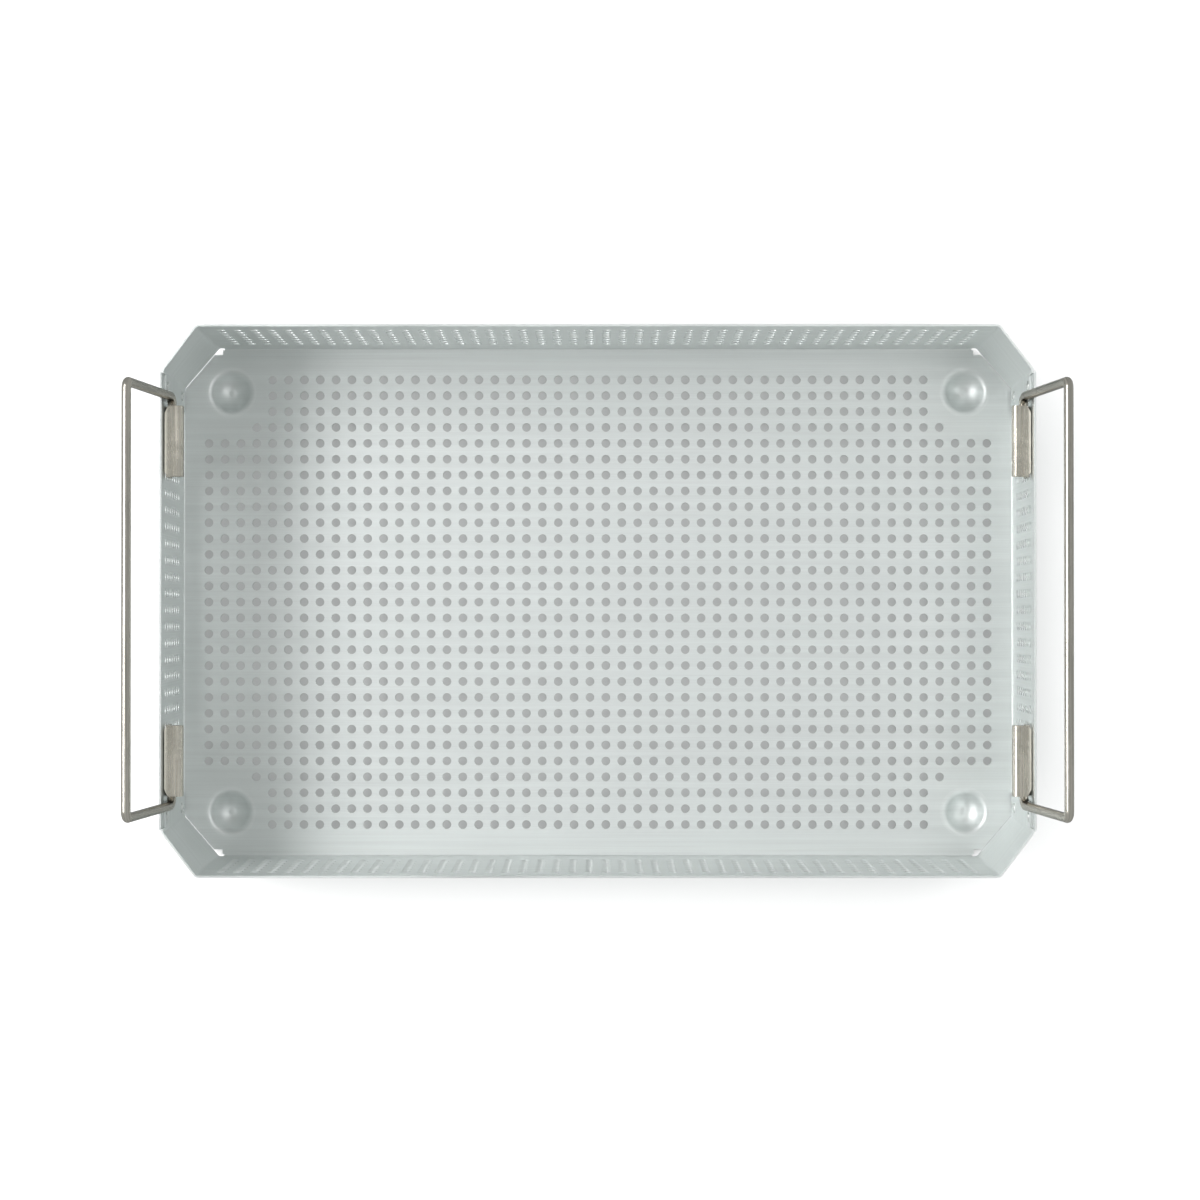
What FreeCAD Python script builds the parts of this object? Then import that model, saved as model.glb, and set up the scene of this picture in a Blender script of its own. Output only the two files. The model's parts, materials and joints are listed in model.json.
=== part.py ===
"""Perforated instrument tray: folded aluminium sheet, pressed feet and two drop handles.

Millimetres, +Z up, X along the tray, origin under the middle of the tray on the plane that the
feet stand on. The tray is one folded sheet; it is built here panel by panel, split at its bends.
"""
import FreeCAD, Part

import math
import os

import Sketcher

V = FreeCAD.Vector

# Driving dimensions: alias, value in mm or degrees, what it is.
DIMENSIONS = [
    ("pitch", 7.8, "centre distance of the perforations, both ways"),
    ("hole_diameter", 4.2, "perforation"),
    ("sheet_thickness", 1.0, "tray sheet"),
    ("bend_radius", 1.0, "inner radius of the floor-to-wall bends"),
    ("fold_radius", 1.8, "inner radius of the vertical corner folds"),
    ("foot_drop", 6.5, "floor underside above the surface the tray stands on"),
    ("inside_depth", 76.5, "floor top to rim"),
    ("floor_half_length", 203.8, "inner bend line at the end walls"),
    ("floor_half_width", 124.7, "inner bend line at the long walls"),
    ("end_wall_lean", 2.25, "inward lean of the end walls, degrees"),
    ("long_wall_flare", 1.27, "outward flare of the long walls, degrees"),
    ("long_wall_half", 183.4, "half length of a long wall, up to its corner fold"),
    ("end_wall_half_foot", 103.4, "half length of an end wall at the floor"),
    ("end_wall_half_rim", 105.7, "half length of an end wall at the rim"),
    ("long_wall_first_row", 16.4, "lowest row of perforations above the floor"),
    ("end_wall_first_row", 15.6, "lowest row of perforations above the floor"),
    ("corner_gap", 0.25, "gap between the floor's chamfer and the corner panel"),
    ("relief_x", 184.3, "inner corner of the floor's relief notch"),
    ("relief_y", 121.4, "inner corner of the floor's relief notch"),
    ("long_fold_foot", 186.4, "fold between long wall and corner panel, at the floor"),
    ("long_fold_rim", 185.2, "fold between long wall and corner panel, at the rim"),
    ("end_fold_foot", 105.3, "fold between corner panel and lap tab, at the floor"),
    ("end_fold_rim", 106.8, "fold between corner panel and lap tab, at the rim"),
    ("tab_end", 93.0, "end of the lap tab, from the tray's long centre line"),
    ("tab_bottom", 1.5, "bottom of the lap tab above the floor"),
    ("tab_top", 68.0, "top of the lap tab above the floor"),
    ("foot_x", 180.2, "dished foot"),
    ("foot_y", 103.1, "dished foot"),
    ("foot_seat_radius", 12.4, "round opening that the dished foot fills"),
    ("foot_blend_start", 11.6, "radius where the flat turns into the dish"),
    ("foot_blend_radius", 3.3, "blend from the flat into the dish, on top"),
    ("foot_pad_sag", 0.38, "how far the flat pad under a foot cuts into the dish"),
    ("foot_nib_radius", 1.65, "raised nib in the dish"),
    ("foot_nib_height", 0.35, "raised nib in the dish"),
    ("wire_diameter", 4.2, "handle wire"),
    ("pivot_x", 197.7, "handle pivot"),
    ("pivot_height", 66.5, "handle pivot above the floor"),
    ("leg_spacing", 189.8, "centre distance of a handle's legs"),
    ("leg_length", 76.5, "pivot to the centre of the grip"),
    ("grip_bend", 3.3, "centre-line radius between leg and grip"),
    ("stub_bend", 4.5, "centre-line radius between leg and stub"),
    ("stub_end", 61.0, "end of a stub, from the tray's long centre line"),
    ("handle_lean", 5.0, "outward lean of a raised handle on the rim, degrees"),
    ("strip_thickness", 1.2, "bracket strip"),
    ("strip_bend", 1.0, "inner bend radius of the bracket strip"),
    ("bracket_length", 32.8, "bracket along the wall"),
    ("bracket_middle", 74.2, "middle of a bracket, from the tray's long centre line"),
    ("bracket_depth", 8.8, "bracket out from the wall"),
    ("bracket_edge_gap", 0.4, "gap between the bracket's free edge and the wall"),
    ("bracket_plate", 18.0, "back plate below the wire's centre"),
    ("bracket_slack", 0.25, "gap between the wire and the flanges"),
    ("bracket_corner", 1.7, "chamfer on the corners of the free edge"),
    ("rivet_shank", 3.2, "rivet shank diameter"),
    ("rivet_clearance", 0.05, "rivet shank to hole, each side"),
    ("rivet_head", 5.2, "rivet head diameter"),
    ("rivet_head_height", 0.8, "rivet head"),
    ("rivet_tail", 4.7, "rivet tail diameter, outside the wall"),
    ("rivet_tail_height", 0.5, "rivet tail"),
    ("bracket_rivet_spacing", 18.0, "centre distance of a bracket's rivets"),
    ("bracket_rivet_drop", 11.5, "bracket rivets below the wire's centre"),
    ("corner_rivet_y", 100.2, "corner rivets, from the tray's long centre line"),
    ("corner_rivet_low", 12.0, "lower corner rivet above the floor"),
    ("corner_rivet_high", 63.5, "upper corner rivet above the floor"),
]

# Perforation pattern, counted in pitches from the tray's middle.
FLOOR_ROWS = 14                    # rows each side of the middle row
FLOOR_COLUMNS = 25                 # columns each side of the middle, on the full rows
FLOOR_COLUMNS_AT_RELIEF = 22       # on row 11, beside the feet
FLOOR_COLUMNS_AT_EDGE = 21         # on rows 12 to 14, between the feet
FULL_ROWS = 10                     # rows 0 to 10 run the whole length
RELIEF_ROW = 11
LONG_WALL_COLUMNS = 23             # columns each side of the middle
END_WALL_COLUMNS = 8
WALL_ROWS = 7

SIDES = {"left": -1, "right": 1}
ENDS = {"front": -1, "back": 1}

doc = FreeCAD.newDocument("instrument_tray")
sheet = doc.addObject("Spreadsheet::Sheet", "Dimensions")
for row, (alias, value, meaning) in enumerate(DIMENSIONS, start=1):
    sheet.set("A%d" % row, str(value))
    sheet.setAlias("A%d" % row, alias)
    sheet.set("B%d" % row, meaning)
doc.recompute()


def dim(alias):
    """The value of one driving dimension, read from the sheet."""
    return float(sheet.get(alias))


FLOOR_TOP = dim("foot_drop") + dim("sheet_thickness")
PIVOT_Z = FLOOR_TOP + dim("pivot_height")
parts = {}


def add_feature(name, shape, placement=FreeCAD.Placement()):
    """A sub-part whose shape is set directly, for what no sketch or primitive fits."""
    feature = doc.addObject("Part::Feature", name)
    feature.Label = name
    feature.Shape = shape
    feature.Placement = placement
    parts[name] = feature
    return feature


def add_body(name):
    body = doc.addObject("PartDesign::Body", name)
    body.Label = name
    parts[name] = body
    return body


def add_sketch(body, name, plane_role):
    sketch = body.newObject("Sketcher::SketchObject", name)
    planes = [plane for plane in body.Origin.OriginFeatures if plane.Role == plane_role]
    sketch.AttachmentSupport = (planes[0], [""])
    sketch.MapMode = "FlatFace"
    return sketch


class Size:
    """A length together with the sheet expression that gives it."""

    def __init__(self, value, text):
        self.value = value
        self.text = text

    def __add__(self, other):
        other = as_size(other)
        return Size(self.value + other.value, "(%s + %s)" % (self.text, other.text))

    def __sub__(self, other):
        other = as_size(other)
        return Size(self.value - other.value, "(%s - %s)" % (self.text, other.text))

    def __mul__(self, other):
        other = as_size(other)
        return Size(self.value * other.value, "(%s * %s)" % (self.text, other.text))

    def __truediv__(self, other):
        other = as_size(other)
        return Size(self.value / other.value, "(%s / %s)" % (self.text, other.text))

    def __neg__(self):
        return Size(-self.value, "(0 - %s)" % self.text)


def as_size(number):
    return number if isinstance(number, Size) else Size(number, repr(number))


def size(alias):
    """One driving dimension as a Size."""
    return Size(dim(alias), "Dimensions." + alias)


def root(square):
    return Size(math.sqrt(square.value), "sqrt(%s)" % square.text)


def bind(sketch, constraint, expression):
    """Add a constraint and tie its value to the sheet."""
    index = sketch.addConstraint(constraint)
    sketch.setExpression("Constraints[%d]" % index, expression)


def pin_point(sketch, geometry, end, point):
    """Hold one end of a line or arc at a point whose x and y are Sizes."""
    for kind, axis, value in (("DistanceX", -2, as_size(point[0])), ("DistanceY", -1, as_size(point[1]))):
        if abs(value.value) < 1e-9:
            sketch.addConstraint(Sketcher.Constraint("PointOnObject", geometry, end, axis))
        elif value.value > 0:
            bind(sketch, Sketcher.Constraint(kind, -1, 1, geometry, end, value.value), value.text)
        else:
            value = -value
            bind(sketch, Sketcher.Constraint(kind, geometry, end, -1, 1, value.value), value.text)


def draw(sketch, points, arcs, closed=True):
    """Outline through points. arcs maps a point's index to the arc that leaves it.

    An arc is (radius, turn), where turn is 1 if it runs anticlockwise and -1 if clockwise.
    """
    count = len(points)
    spots = [V(as_size(x).value, as_size(y).value, 0) for x, y in points]
    ends = []
    for i in range(count if closed else count - 1):
        start, stop = spots[i], spots[(i + 1) % count]
        if i not in arcs:
            index = sketch.addGeometry(Part.LineSegment(start, stop), False)
            ends.append((index, 1, 2))
            continue
        radius, turn = arcs[i]
        chord = stop - start
        middle = (start + stop) / 2
        height = math.sqrt(max(radius.value ** 2 - (chord.Length / 2) ** 2, 0))
        centre = middle + V(-chord.y, chord.x, 0).normalize() * height * turn
        first, last = (start, stop) if turn > 0 else (stop, start)
        angles = [math.atan2(end.y - centre.y, end.x - centre.x) for end in (first, last)]
        if angles[1] < angles[0]:
            angles[1] += 2 * math.pi
        circle = Part.Circle(centre, V(0, 0, 1), radius.value)
        index = sketch.addGeometry(Part.ArcOfCircle(circle, angles[0], angles[1]), False)
        ends.append((index, 1, 2) if turn > 0 else (index, 2, 1))
    for i, (index, begin, finish) in enumerate(ends):
        pin_point(sketch, index, begin, points[i])
        if closed or i + 1 < len(ends):
            following, start, _ = ends[(i + 1) % len(ends)]
            sketch.addConstraint(Sketcher.Constraint("Coincident", index, finish, following, start))
    if not closed:
        pin_point(sketch, ends[-1][0], ends[-1][2], points[-1])
    for i, (radius, turn) in arcs.items():
        bind(sketch, Sketcher.Constraint("Radius", ends[i][0], radius.value), radius.text)


# ---------------------------------------------------------------- perforated sheet panels

def perforated_plate(outline, holes, thickness):
    """Flat plate in the XY plane, growing along +Z. holes holds (x, y, radius)."""
    corners = [V(x, y, 0) for x, y in outline]
    wires = [Part.makePolygon(corners + corners[:1])]
    for x, y, radius in holes:
        # the outline runs anticlockwise, so a hole's circle has to run the other way
        circle = Part.Circle(V(x, y, 0), V(0, 0, -1), radius)
        wires.append(Part.Wire(circle.toShape()))
    return Part.Face(wires).extrude(V(0, 0, thickness))


def floor_holes():
    """Perforations of the floor: fewer columns where the feet and the corners take the room."""
    pitch = dim("pitch")
    radius = dim("hole_diameter") / 2
    holes = []
    for row in range(-FLOOR_ROWS, FLOOR_ROWS + 1):
        if abs(row) <= FULL_ROWS:
            columns = FLOOR_COLUMNS
        elif abs(row) == RELIEF_ROW:
            columns = FLOOR_COLUMNS_AT_RELIEF
        else:
            columns = FLOOR_COLUMNS_AT_EDGE
        for column in range(-columns, columns):
            holes.append(((column + 0.5) * pitch, row * pitch, radius))
    return holes


def long_wall_outer_y(height):
    """Outer face of the back wall at a height above the floor."""
    flare = math.radians(dim("long_wall_flare"))
    inner = dim("bend_radius")
    outer = inner + dim("sheet_thickness")
    rise = height - inner + outer * math.sin(flare)
    return dim("floor_half_width") - inner + outer * math.cos(flare) + rise * math.tan(flare)


def end_wall_inner_x(height):
    """Inner face of the right end wall at a height above the floor."""
    lean = math.radians(dim("end_wall_lean"))
    inner = dim("bend_radius")
    rise = height - inner - inner * math.sin(lean)
    return dim("floor_half_length") - inner + inner * math.cos(lean) - rise * math.tan(lean)


def floor_corner():
    """The floor's outline in the first quadrant, from the long edge round to the end edge."""
    edge_y = dim("floor_half_width") - dim("bend_radius")
    edge_x = dim("floor_half_length") - dim("bend_radius")
    fold_x = dim("long_fold_foot")
    fold_y = long_wall_outer_y(0)
    run_x = end_wall_inner_x(0) - fold_x
    run_y = fold_y - dim("end_fold_foot")
    inset = (dim("sheet_thickness") + dim("corner_gap")) * math.hypot(run_x, run_y) / run_x
    slope = run_y / run_x
    chamfer_start_x = fold_x + (fold_y - inset - dim("relief_y")) / slope
    return [
        (dim("relief_x"), edge_y),
        (dim("relief_x"), dim("relief_y")),
        (chamfer_start_x, dim("relief_y")),
        (edge_x, fold_y - (edge_x - fold_x) * slope - inset),
    ]


def make_floor():
    corner = floor_corner()
    outline = list(reversed(corner))
    outline += [(-x, y) for x, y in corner]
    outline += [(-x, -y) for x, y in reversed(corner)]
    outline += [(x, -y) for x, y in corner]
    holes = floor_holes()
    for side in SIDES.values():
        for end in ENDS.values():
            holes.append((side * dim("foot_x"), end * dim("foot_y"), dim("foot_seat_radius")))
    plate = perforated_plate(outline, holes, dim("sheet_thickness"))
    add_feature("floor_panel", plate, FreeCAD.Placement(V(0, 0, dim("foot_drop")), FreeCAD.Rotation()))


def bend_strip(half_length, angle):
    """The bend along a wall's foot: a curved strip whose axis is X, turning up by angle degrees.

    The floor's edge is the plane y = 0 and the bend's axis is at z = 0.
    """
    inner = dim("bend_radius")
    outer = inner + dim("sheet_thickness")
    turn = math.radians(angle)
    middle = turn / 2

    def on_arc(radius, sweep):
        return V(-half_length, radius * math.sin(sweep), -radius * math.cos(sweep))

    edges = [
        Part.Arc(on_arc(inner, 0), on_arc(inner, middle), on_arc(inner, turn)).toShape(),
        Part.makeLine(on_arc(inner, turn), on_arc(outer, turn)),
        Part.Arc(on_arc(outer, turn), on_arc(outer, middle), on_arc(outer, 0)).toShape(),
        Part.makeLine(on_arc(outer, 0), on_arc(inner, 0)),
    ]
    face = Part.Face(Part.Wire(edges))
    return face.extrude(V(2 * half_length, 0, 0))


def make_wall(outline_half_foot, outline_half_rim, holes, angle):
    """One wall with the bend at its foot, standing beyond y = 0, its bend's axis on z = 0.

    holes holds (x, height above the bend's axis, radius). angle is the bend's turn in degrees.
    """
    inner = dim("bend_radius")
    height = (dim("inside_depth") - inner) / math.sin(math.radians(angle))
    outline = [
        (-outline_half_foot, 0),
        (outline_half_foot, 0),
        (outline_half_rim, height),
        (-outline_half_rim, height),
    ]
    plate = perforated_plate(outline, holes, dim("sheet_thickness"))
    plate.rotate(V(0, 0, 0), V(1, 0, 0), angle)
    away = math.radians(angle - 90)
    outer = inner + dim("sheet_thickness")
    plate.translate(V(0, math.cos(away) * outer, math.sin(away) * outer))
    return plate.fuse(bend_strip(outline_half_foot, angle)).removeSplitter()


def make_long_walls():
    pitch = dim("pitch")
    radius = dim("hole_diameter") / 2
    angle = 90 - dim("long_wall_flare")
    holes = []
    for row in range(WALL_ROWS):
        height = dim("long_wall_first_row") + row * pitch - dim("bend_radius")
        for column in range(-LONG_WALL_COLUMNS, LONG_WALL_COLUMNS):
            holes.append(((column + 0.5) * pitch, height, radius))
    wall = make_wall(dim("long_wall_half"), dim("long_wall_half"), holes, angle)
    edge = V(0, dim("floor_half_width") - dim("bend_radius"), FLOOR_TOP + dim("bend_radius"))
    for end, turn in (("back", 0), ("front", 180)):
        rotation = FreeCAD.Rotation(V(0, 0, 1), turn)
        add_feature(end + "_wall", wall.copy(), FreeCAD.Placement(rotation.multVec(edge), rotation))


def on_end_wall(along, height, side=1):
    """Placement on an end wall's inner face: local +X out through the wall, local +Z up it."""
    lean = dim("end_wall_lean")
    inner = dim("bend_radius")
    angle = math.radians(lean)
    x = dim("floor_half_length") - inner + inner * math.cos(angle) - (height - inner) * math.sin(angle)
    z = FLOOR_TOP + inner + inner * math.sin(angle) + (height - inner) * math.cos(angle)
    if side > 0:
        rotation = FreeCAD.Rotation(V(0, 1, 0), -lean)
    else:
        rotation = FreeCAD.Rotation(V(0, 1, 0), lean).multiply(FreeCAD.Rotation(V(0, 0, 1), 180))
    return FreeCAD.Placement(V(side * x, along, z), rotation)


def pivot_height_on_wall():
    """Height of the handle pivot, measured up the face of the leaning end wall."""
    return on_end_wall(0, 0).inverse().multVec(V(dim("pivot_x"), 0, PIVOT_Z)).z


def bracket_rivet_height():
    return pivot_height_on_wall() - dim("bracket_rivet_drop")


def end_wall_rivet_holes():
    """Rivet holes in an end wall, as (distance along the wall, height up its face)."""
    places = []
    for end in ENDS.values():
        for step in (-1, 1):
            along = dim("bracket_middle") + step * dim("bracket_rivet_spacing") / 2
            places.append((end * along, bracket_rivet_height()))
        for height in (dim("corner_rivet_low"), dim("corner_rivet_high")):
            places.append((end * dim("corner_rivet_y"), height))
    return places


def make_end_walls():
    pitch = dim("pitch")
    radius = dim("hole_diameter") / 2
    angle = 90 + dim("end_wall_lean")
    holes = []
    for row in range(WALL_ROWS):
        height = dim("end_wall_first_row") + row * pitch - dim("bend_radius")
        for column in range(-END_WALL_COLUMNS, END_WALL_COLUMNS):
            holes.append(((column + 0.5) * pitch, height, radius))
    rivet_radius = dim("rivet_shank") / 2 + dim("rivet_clearance")
    for along, height in end_wall_rivet_holes():
        holes.append((along, height - dim("bend_radius"), rivet_radius))
    wall = make_wall(dim("end_wall_half_foot"), dim("end_wall_half_rim"), holes, angle)
    edge = V(0, dim("floor_half_length") - dim("bend_radius"), FLOOR_TOP + dim("bend_radius"))
    for side, turn in (("left", 90), ("right", -90)):
        rotation = FreeCAD.Rotation(V(0, 0, 1), turn)
        add_feature(side + "_end_wall", wall.copy(), FreeCAD.Placement(rotation.multVec(edge), rotation))


# ---------------------------------------------------------------- corner panels

def offset_corner(previous, corner, following, distance):
    """Where two sides of an open outline meet after both move to their right by distance."""
    into = V(corner[0] - previous[0], corner[1] - previous[1], 0).normalize()
    out = V(following[0] - corner[0], following[1] - corner[1], 0).normalize()
    bisector = (V(into.y, -into.x, 0) + V(out.y, -out.x, 0)).normalize()
    reach = distance / bisector.dot(V(into.y, -into.x, 0))
    return (corner[0] + bisector.x * reach, corner[1] + bisector.y * reach)


def corner_section(start, fold_long, fold_end, stop, height):
    """Plan of a corner panel and its tab: the outer face, then the inner face back again."""
    thickness = dim("sheet_thickness")
    outer_radius = dim("fold_radius") + thickness
    outer = [start, fold_long, fold_end, stop]
    inner = [
        (start[0], start[1] - thickness),
        offset_corner(start, fold_long, fold_end, thickness),
        offset_corner(fold_long, fold_end, stop, thickness),
        (stop[0] - thickness, stop[1]),
    ]

    def rounded(points, radius):
        """Straight runs and the arcs between them, along one face."""
        edges = []
        last = V(points[0][0], points[0][1], height)
        for previous, corner, following in zip(points, points[1:], points[2:]):
            middle = V(corner[0], corner[1], height)
            back = (V(previous[0], previous[1], height) - middle).normalize()
            ahead = (V(following[0], following[1], height) - middle).normalize()
            half_angle = back.getAngle(ahead) / 2
            tangent = radius / math.tan(half_angle)
            bisector = (back + ahead).normalize()
            centre = middle + bisector * (radius / math.sin(half_angle))
            arc_start = middle + back * tangent
            arc_end = middle + ahead * tangent
            edges.append(Part.makeLine(last, arc_start))
            edges.append(Part.Arc(arc_start, centre - bisector * radius, arc_end).toShape())
            last = arc_end
        edges.append(Part.makeLine(last, V(points[-1][0], points[-1][1], height)))
        return edges

    face_out = rounded(outer, outer_radius)
    face_in = rounded(list(reversed(inner)), dim("fold_radius"))
    close_stop = Part.makeLine(V(stop[0], stop[1], height), V(inner[3][0], inner[3][1], height))
    close_start = Part.makeLine(V(inner[0][0], inner[0][1], height), V(start[0], start[1], height))
    return Part.Wire(face_out + [close_stop] + face_in + [close_start])


def make_corner_panel():
    """The back right corner: panel and lap tab from floor to rim, with the tab cut to height."""
    spare = 5 * dim("sheet_thickness")
    sections = []
    for height, fold_x, fold_y in (
        (0, dim("long_fold_foot"), dim("end_fold_foot")),
        (dim("inside_depth"), dim("long_fold_rim"), dim("end_fold_rim")),
    ):
        long_y = long_wall_outer_y(height)
        end_x = end_wall_inner_x(height)
        sections.append(corner_section(
            (dim("long_wall_half"), long_y),
            (fold_x, long_y),
            (end_x, fold_y),
            (end_x, dim("tab_end")),
            FLOOR_TOP + height,
        ))
    panel = Part.makeLoft(sections, True, True)
    for fold_y, low, high in (
        (dim("end_fold_foot"), -spare, dim("tab_bottom")),
        (dim("end_fold_rim"), dim("tab_top"), dim("inside_depth") + spare),
    ):
        corner = V(end_wall_inner_x(high) - spare, dim("tab_end") - spare, FLOOR_TOP + low)
        width = fold_y - dim("fold_radius") - corner.y
        panel = panel.cut(Part.makeBox(2 * spare, width, high - low, corner))
    for height in (dim("corner_rivet_low"), dim("corner_rivet_high")):
        panel = panel.cut(rivet_bore(dim("corner_rivet_y"), height))
    return panel


def rivet_bore(along, height):
    """Cutter for one rivet hole through the lap tab on the right end wall."""
    radius = dim("rivet_shank") / 2 + dim("rivet_clearance")
    spare = dim("sheet_thickness")
    bore = Part.makeCylinder(radius, dim("sheet_thickness") + 2 * spare, V(-2 * spare, 0, 0), V(1, 0, 0))
    return bore.transformGeometry(on_end_wall(along, height).toMatrix())


def make_corner_panels():
    back_right = make_corner_panel()
    back_left = back_right.mirror(V(0, 0, 0), V(1, 0, 0))
    add_feature("corner_panel_back_right", back_right)
    add_feature("corner_panel_back_left", back_left)
    add_feature("corner_panel_front_right", back_right.mirror(V(0, 0, 0), V(0, 1, 0)))
    add_feature("corner_panel_front_left", back_left.mirror(V(0, 0, 0), V(0, 1, 0)))


# ---------------------------------------------------------------- dished feet

def make_foot(name, x, y):
    """A round dish pressed out of the floor: bowl, blend, flat pad underneath and a raised nib."""
    thickness = size("sheet_thickness")
    blend = size("foot_blend_radius")
    start = size("foot_blend_start")
    seat = size("foot_seat_radius")
    nib = size("foot_nib_radius")
    sag = size("foot_pad_sag")
    bottom = -(size("foot_drop") + thickness)

    # the bowl is part of a sphere on the axis, tangent to the blend; reach joins their centres
    depth = size("foot_drop") + sag
    reach = (start * start + depth * depth) / (depth * 2)
    bowl = reach - blend
    outer = bowl + thickness
    centre_z = bowl - depth
    fall = (reach - depth) / reach
    nib_foot = centre_z - root(bowl * bowl - nib * nib)
    pad = root(outer * outer - (outer - sag) * (outer - sag))

    body = add_body(name)
    profile = add_sketch(body, name + "_profile", "XZ_Plane")
    points = [
        (0, size("foot_nib_height") - depth),
        (nib, size("foot_nib_height") - depth),
        (nib, nib_foot),
        (start * bowl / reach, centre_z - fall * bowl),
        (start, 0),
        (seat, 0),
        (seat, -thickness),
        (start, -thickness),
        (start * outer / reach, centre_z - fall * outer),
        (pad, bottom),
        (0, bottom),
    ]
    arcs = {2: (bowl, 1), 3: (blend, -1), 7: (blend - thickness, 1), 8: (outer, -1)}
    draw(profile, points, arcs)
    dish = body.newObject("PartDesign::Revolution", name + "_dish")
    dish.Profile = profile
    dish.ReferenceAxis = (profile, ["V_Axis"])
    dish.Angle = 360
    body.Placement = FreeCAD.Placement(V(x, y, FLOOR_TOP), FreeCAD.Rotation())


def make_feet():
    for end, toward_end in ENDS.items():
        for side, toward_side in SIDES.items():
            name = "foot_dish_%s_%s" % (end, side)
            make_foot(name, toward_side * dim("foot_x"), toward_end * dim("foot_y"))


# ---------------------------------------------------------------- handle brackets

def make_bracket(name, along, side):
    """Folded strip: plate on the wall, under the wire, up, and over its top back to the wall.

    Local X runs out through the wall and is 0 on its face; local Z is 0 at the wire's centre.
    """
    strip = size("strip_thickness")
    inner_bend = size("strip_bend")
    outer_bend = inner_bend + strip
    depth = size("bracket_depth")
    inside = size("wire_diameter") / 2 + size("bracket_slack")
    outside = inside + strip
    edge = size("bracket_edge_gap")
    plate = size("bracket_plate")

    body = add_body(name)
    profile = add_sketch(body, name + "_profile", "XZ_Plane")
    points = [
        (0, -plate),
        (0, -(inside + outer_bend)),
        (-outer_bend, -inside),
        (-(depth - strip - inner_bend), -inside),
        (-(depth - strip), -(inside - inner_bend)),
        (-(depth - strip), inside - inner_bend),
        (-(depth - strip - inner_bend), inside),
        (-edge, inside),
        (-edge, outside),
        (-(depth - outer_bend), outside),
        (-depth, outside - outer_bend),
        (-depth, -(outside - outer_bend)),
        (-(depth - outer_bend), -outside),
        (-(strip + inner_bend), -outside),
        (-strip, -(outside + inner_bend)),
        (-strip, -plate),
    ]
    arcs = {
        1: (outer_bend, 1),
        3: (inner_bend, -1),
        5: (inner_bend, -1),
        9: (outer_bend, 1),
        11: (outer_bend, 1),
        13: (inner_bend, -1),
    }
    draw(profile, points, arcs)
    pad = body.newObject("PartDesign::Pad", name + "_strip")
    pad.Profile = profile
    pad.SideType = "Symmetric"
    pad.setExpression("Length", "Dimensions.bracket_length")
    doc.recompute()

    # the free edge's two short upright corners are cut off
    corners = []
    for number, corner in enumerate(pad.Shape.Edges, start=1):
        upright = abs(corner.Vertexes[0].Z - corner.Vertexes[-1].Z) > strip.value / 2
        at_edge = all(abs(vertex.X + edge.value) < 1e-4 for vertex in corner.Vertexes)
        if upright and at_edge:
            corners.append("Edge%d" % number)
    chamfer = body.newObject("PartDesign::Chamfer", name + "_corners")
    chamfer.Base = (pad, corners)
    chamfer.setExpression("Size", "Dimensions.bracket_corner")
    doc.recompute()

    holes = add_sketch(body, name + "_rivet_holes", "YZ_Plane")
    radius = size("rivet_shank") / 2 + size("rivet_clearance")
    height = -size("bracket_rivet_drop")
    for step in (-1, 1):
        centre = (size("bracket_rivet_spacing") * step / 2, height)
        spot = V(centre[0].value, centre[1].value, 0)
        index = holes.addGeometry(Part.Circle(spot, V(0, 0, 1), radius.value), False)
        pin_point(holes, index, 3, centre)
        bind(holes, Sketcher.Constraint("Radius", index, radius.value), radius.text)
    pocket = body.newObject("PartDesign::Pocket", name + "_rivet_bores")
    pocket.Profile = holes
    pocket.SideType = "Symmetric"
    pocket.setExpression("Length", "3 * Dimensions.strip_thickness")
    doc.recompute()
    if not pocket.Shape.Volume < chamfer.Shape.Volume:
        raise RuntimeError(name + ": the rivet bores cut nothing")
    body.Placement = on_end_wall(along, pivot_height_on_wall(), side)


def make_rivets(name, plate, spacing, local_axis, placement):
    """Two rivets through a plate and the wall, spacing apart: head inside, tail outside.

    Local X runs out through the wall and is 0 on its inner face.
    """
    head_radius = size("rivet_head") / 2
    head_height = size("rivet_head_height")
    tail_radius = size("rivet_tail") / 2
    tail_height = size("rivet_tail_height")
    shank = size("rivet_shank") / 2
    wall = size("sheet_thickness")

    body = add_body(name)
    body.AllowCompound = True
    profile = add_sketch(body, name + "_profile", "XY_Plane")
    points = [
        (-(plate + head_height), 0),
        (-(plate + head_height), shank),
        (-(plate + head_height / 3), head_radius),
        (-plate, head_radius),
        (-plate, shank),
        (wall, shank),
        (wall, tail_radius),
        (wall + tail_height / 2, tail_radius),
        (wall + tail_height, shank),
        (wall + tail_height, 0),
    ]
    draw(profile, points, {})
    rivet = body.newObject("PartDesign::Revolution", name + "_rivet")
    rivet.Profile = profile
    rivet.ReferenceAxis = (profile, ["H_Axis"])
    rivet.Angle = 360
    doc.recompute()
    pair = body.newObject("PartDesign::LinearPattern", name + "_pair")
    pair.Originals = [rivet]
    axes = [line for line in body.Origin.OriginFeatures if line.Role == local_axis]
    pair.Direction = (axes[0], [""])
    pair.Occurrences = 2
    pair.setExpression("Length", spacing)
    body.Tip = pair
    body.Placement = placement


def make_brackets():
    rivet_spacing = "Dimensions.bracket_rivet_spacing"
    half_spacing = dim("bracket_rivet_spacing") / 2
    for end, toward_end in ENDS.items():
        for side, toward_side in SIDES.items():
            along = toward_end * dim("bracket_middle")
            where = "%s_%s" % (end, side)
            make_bracket("handle_bracket_" + where, along, toward_side)
            first = on_end_wall(along - toward_side * half_spacing, bracket_rivet_height(), toward_side)
            make_rivets("bracket_rivets_" + where, size("strip_thickness"), rivet_spacing, "Y_Axis", first)


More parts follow.
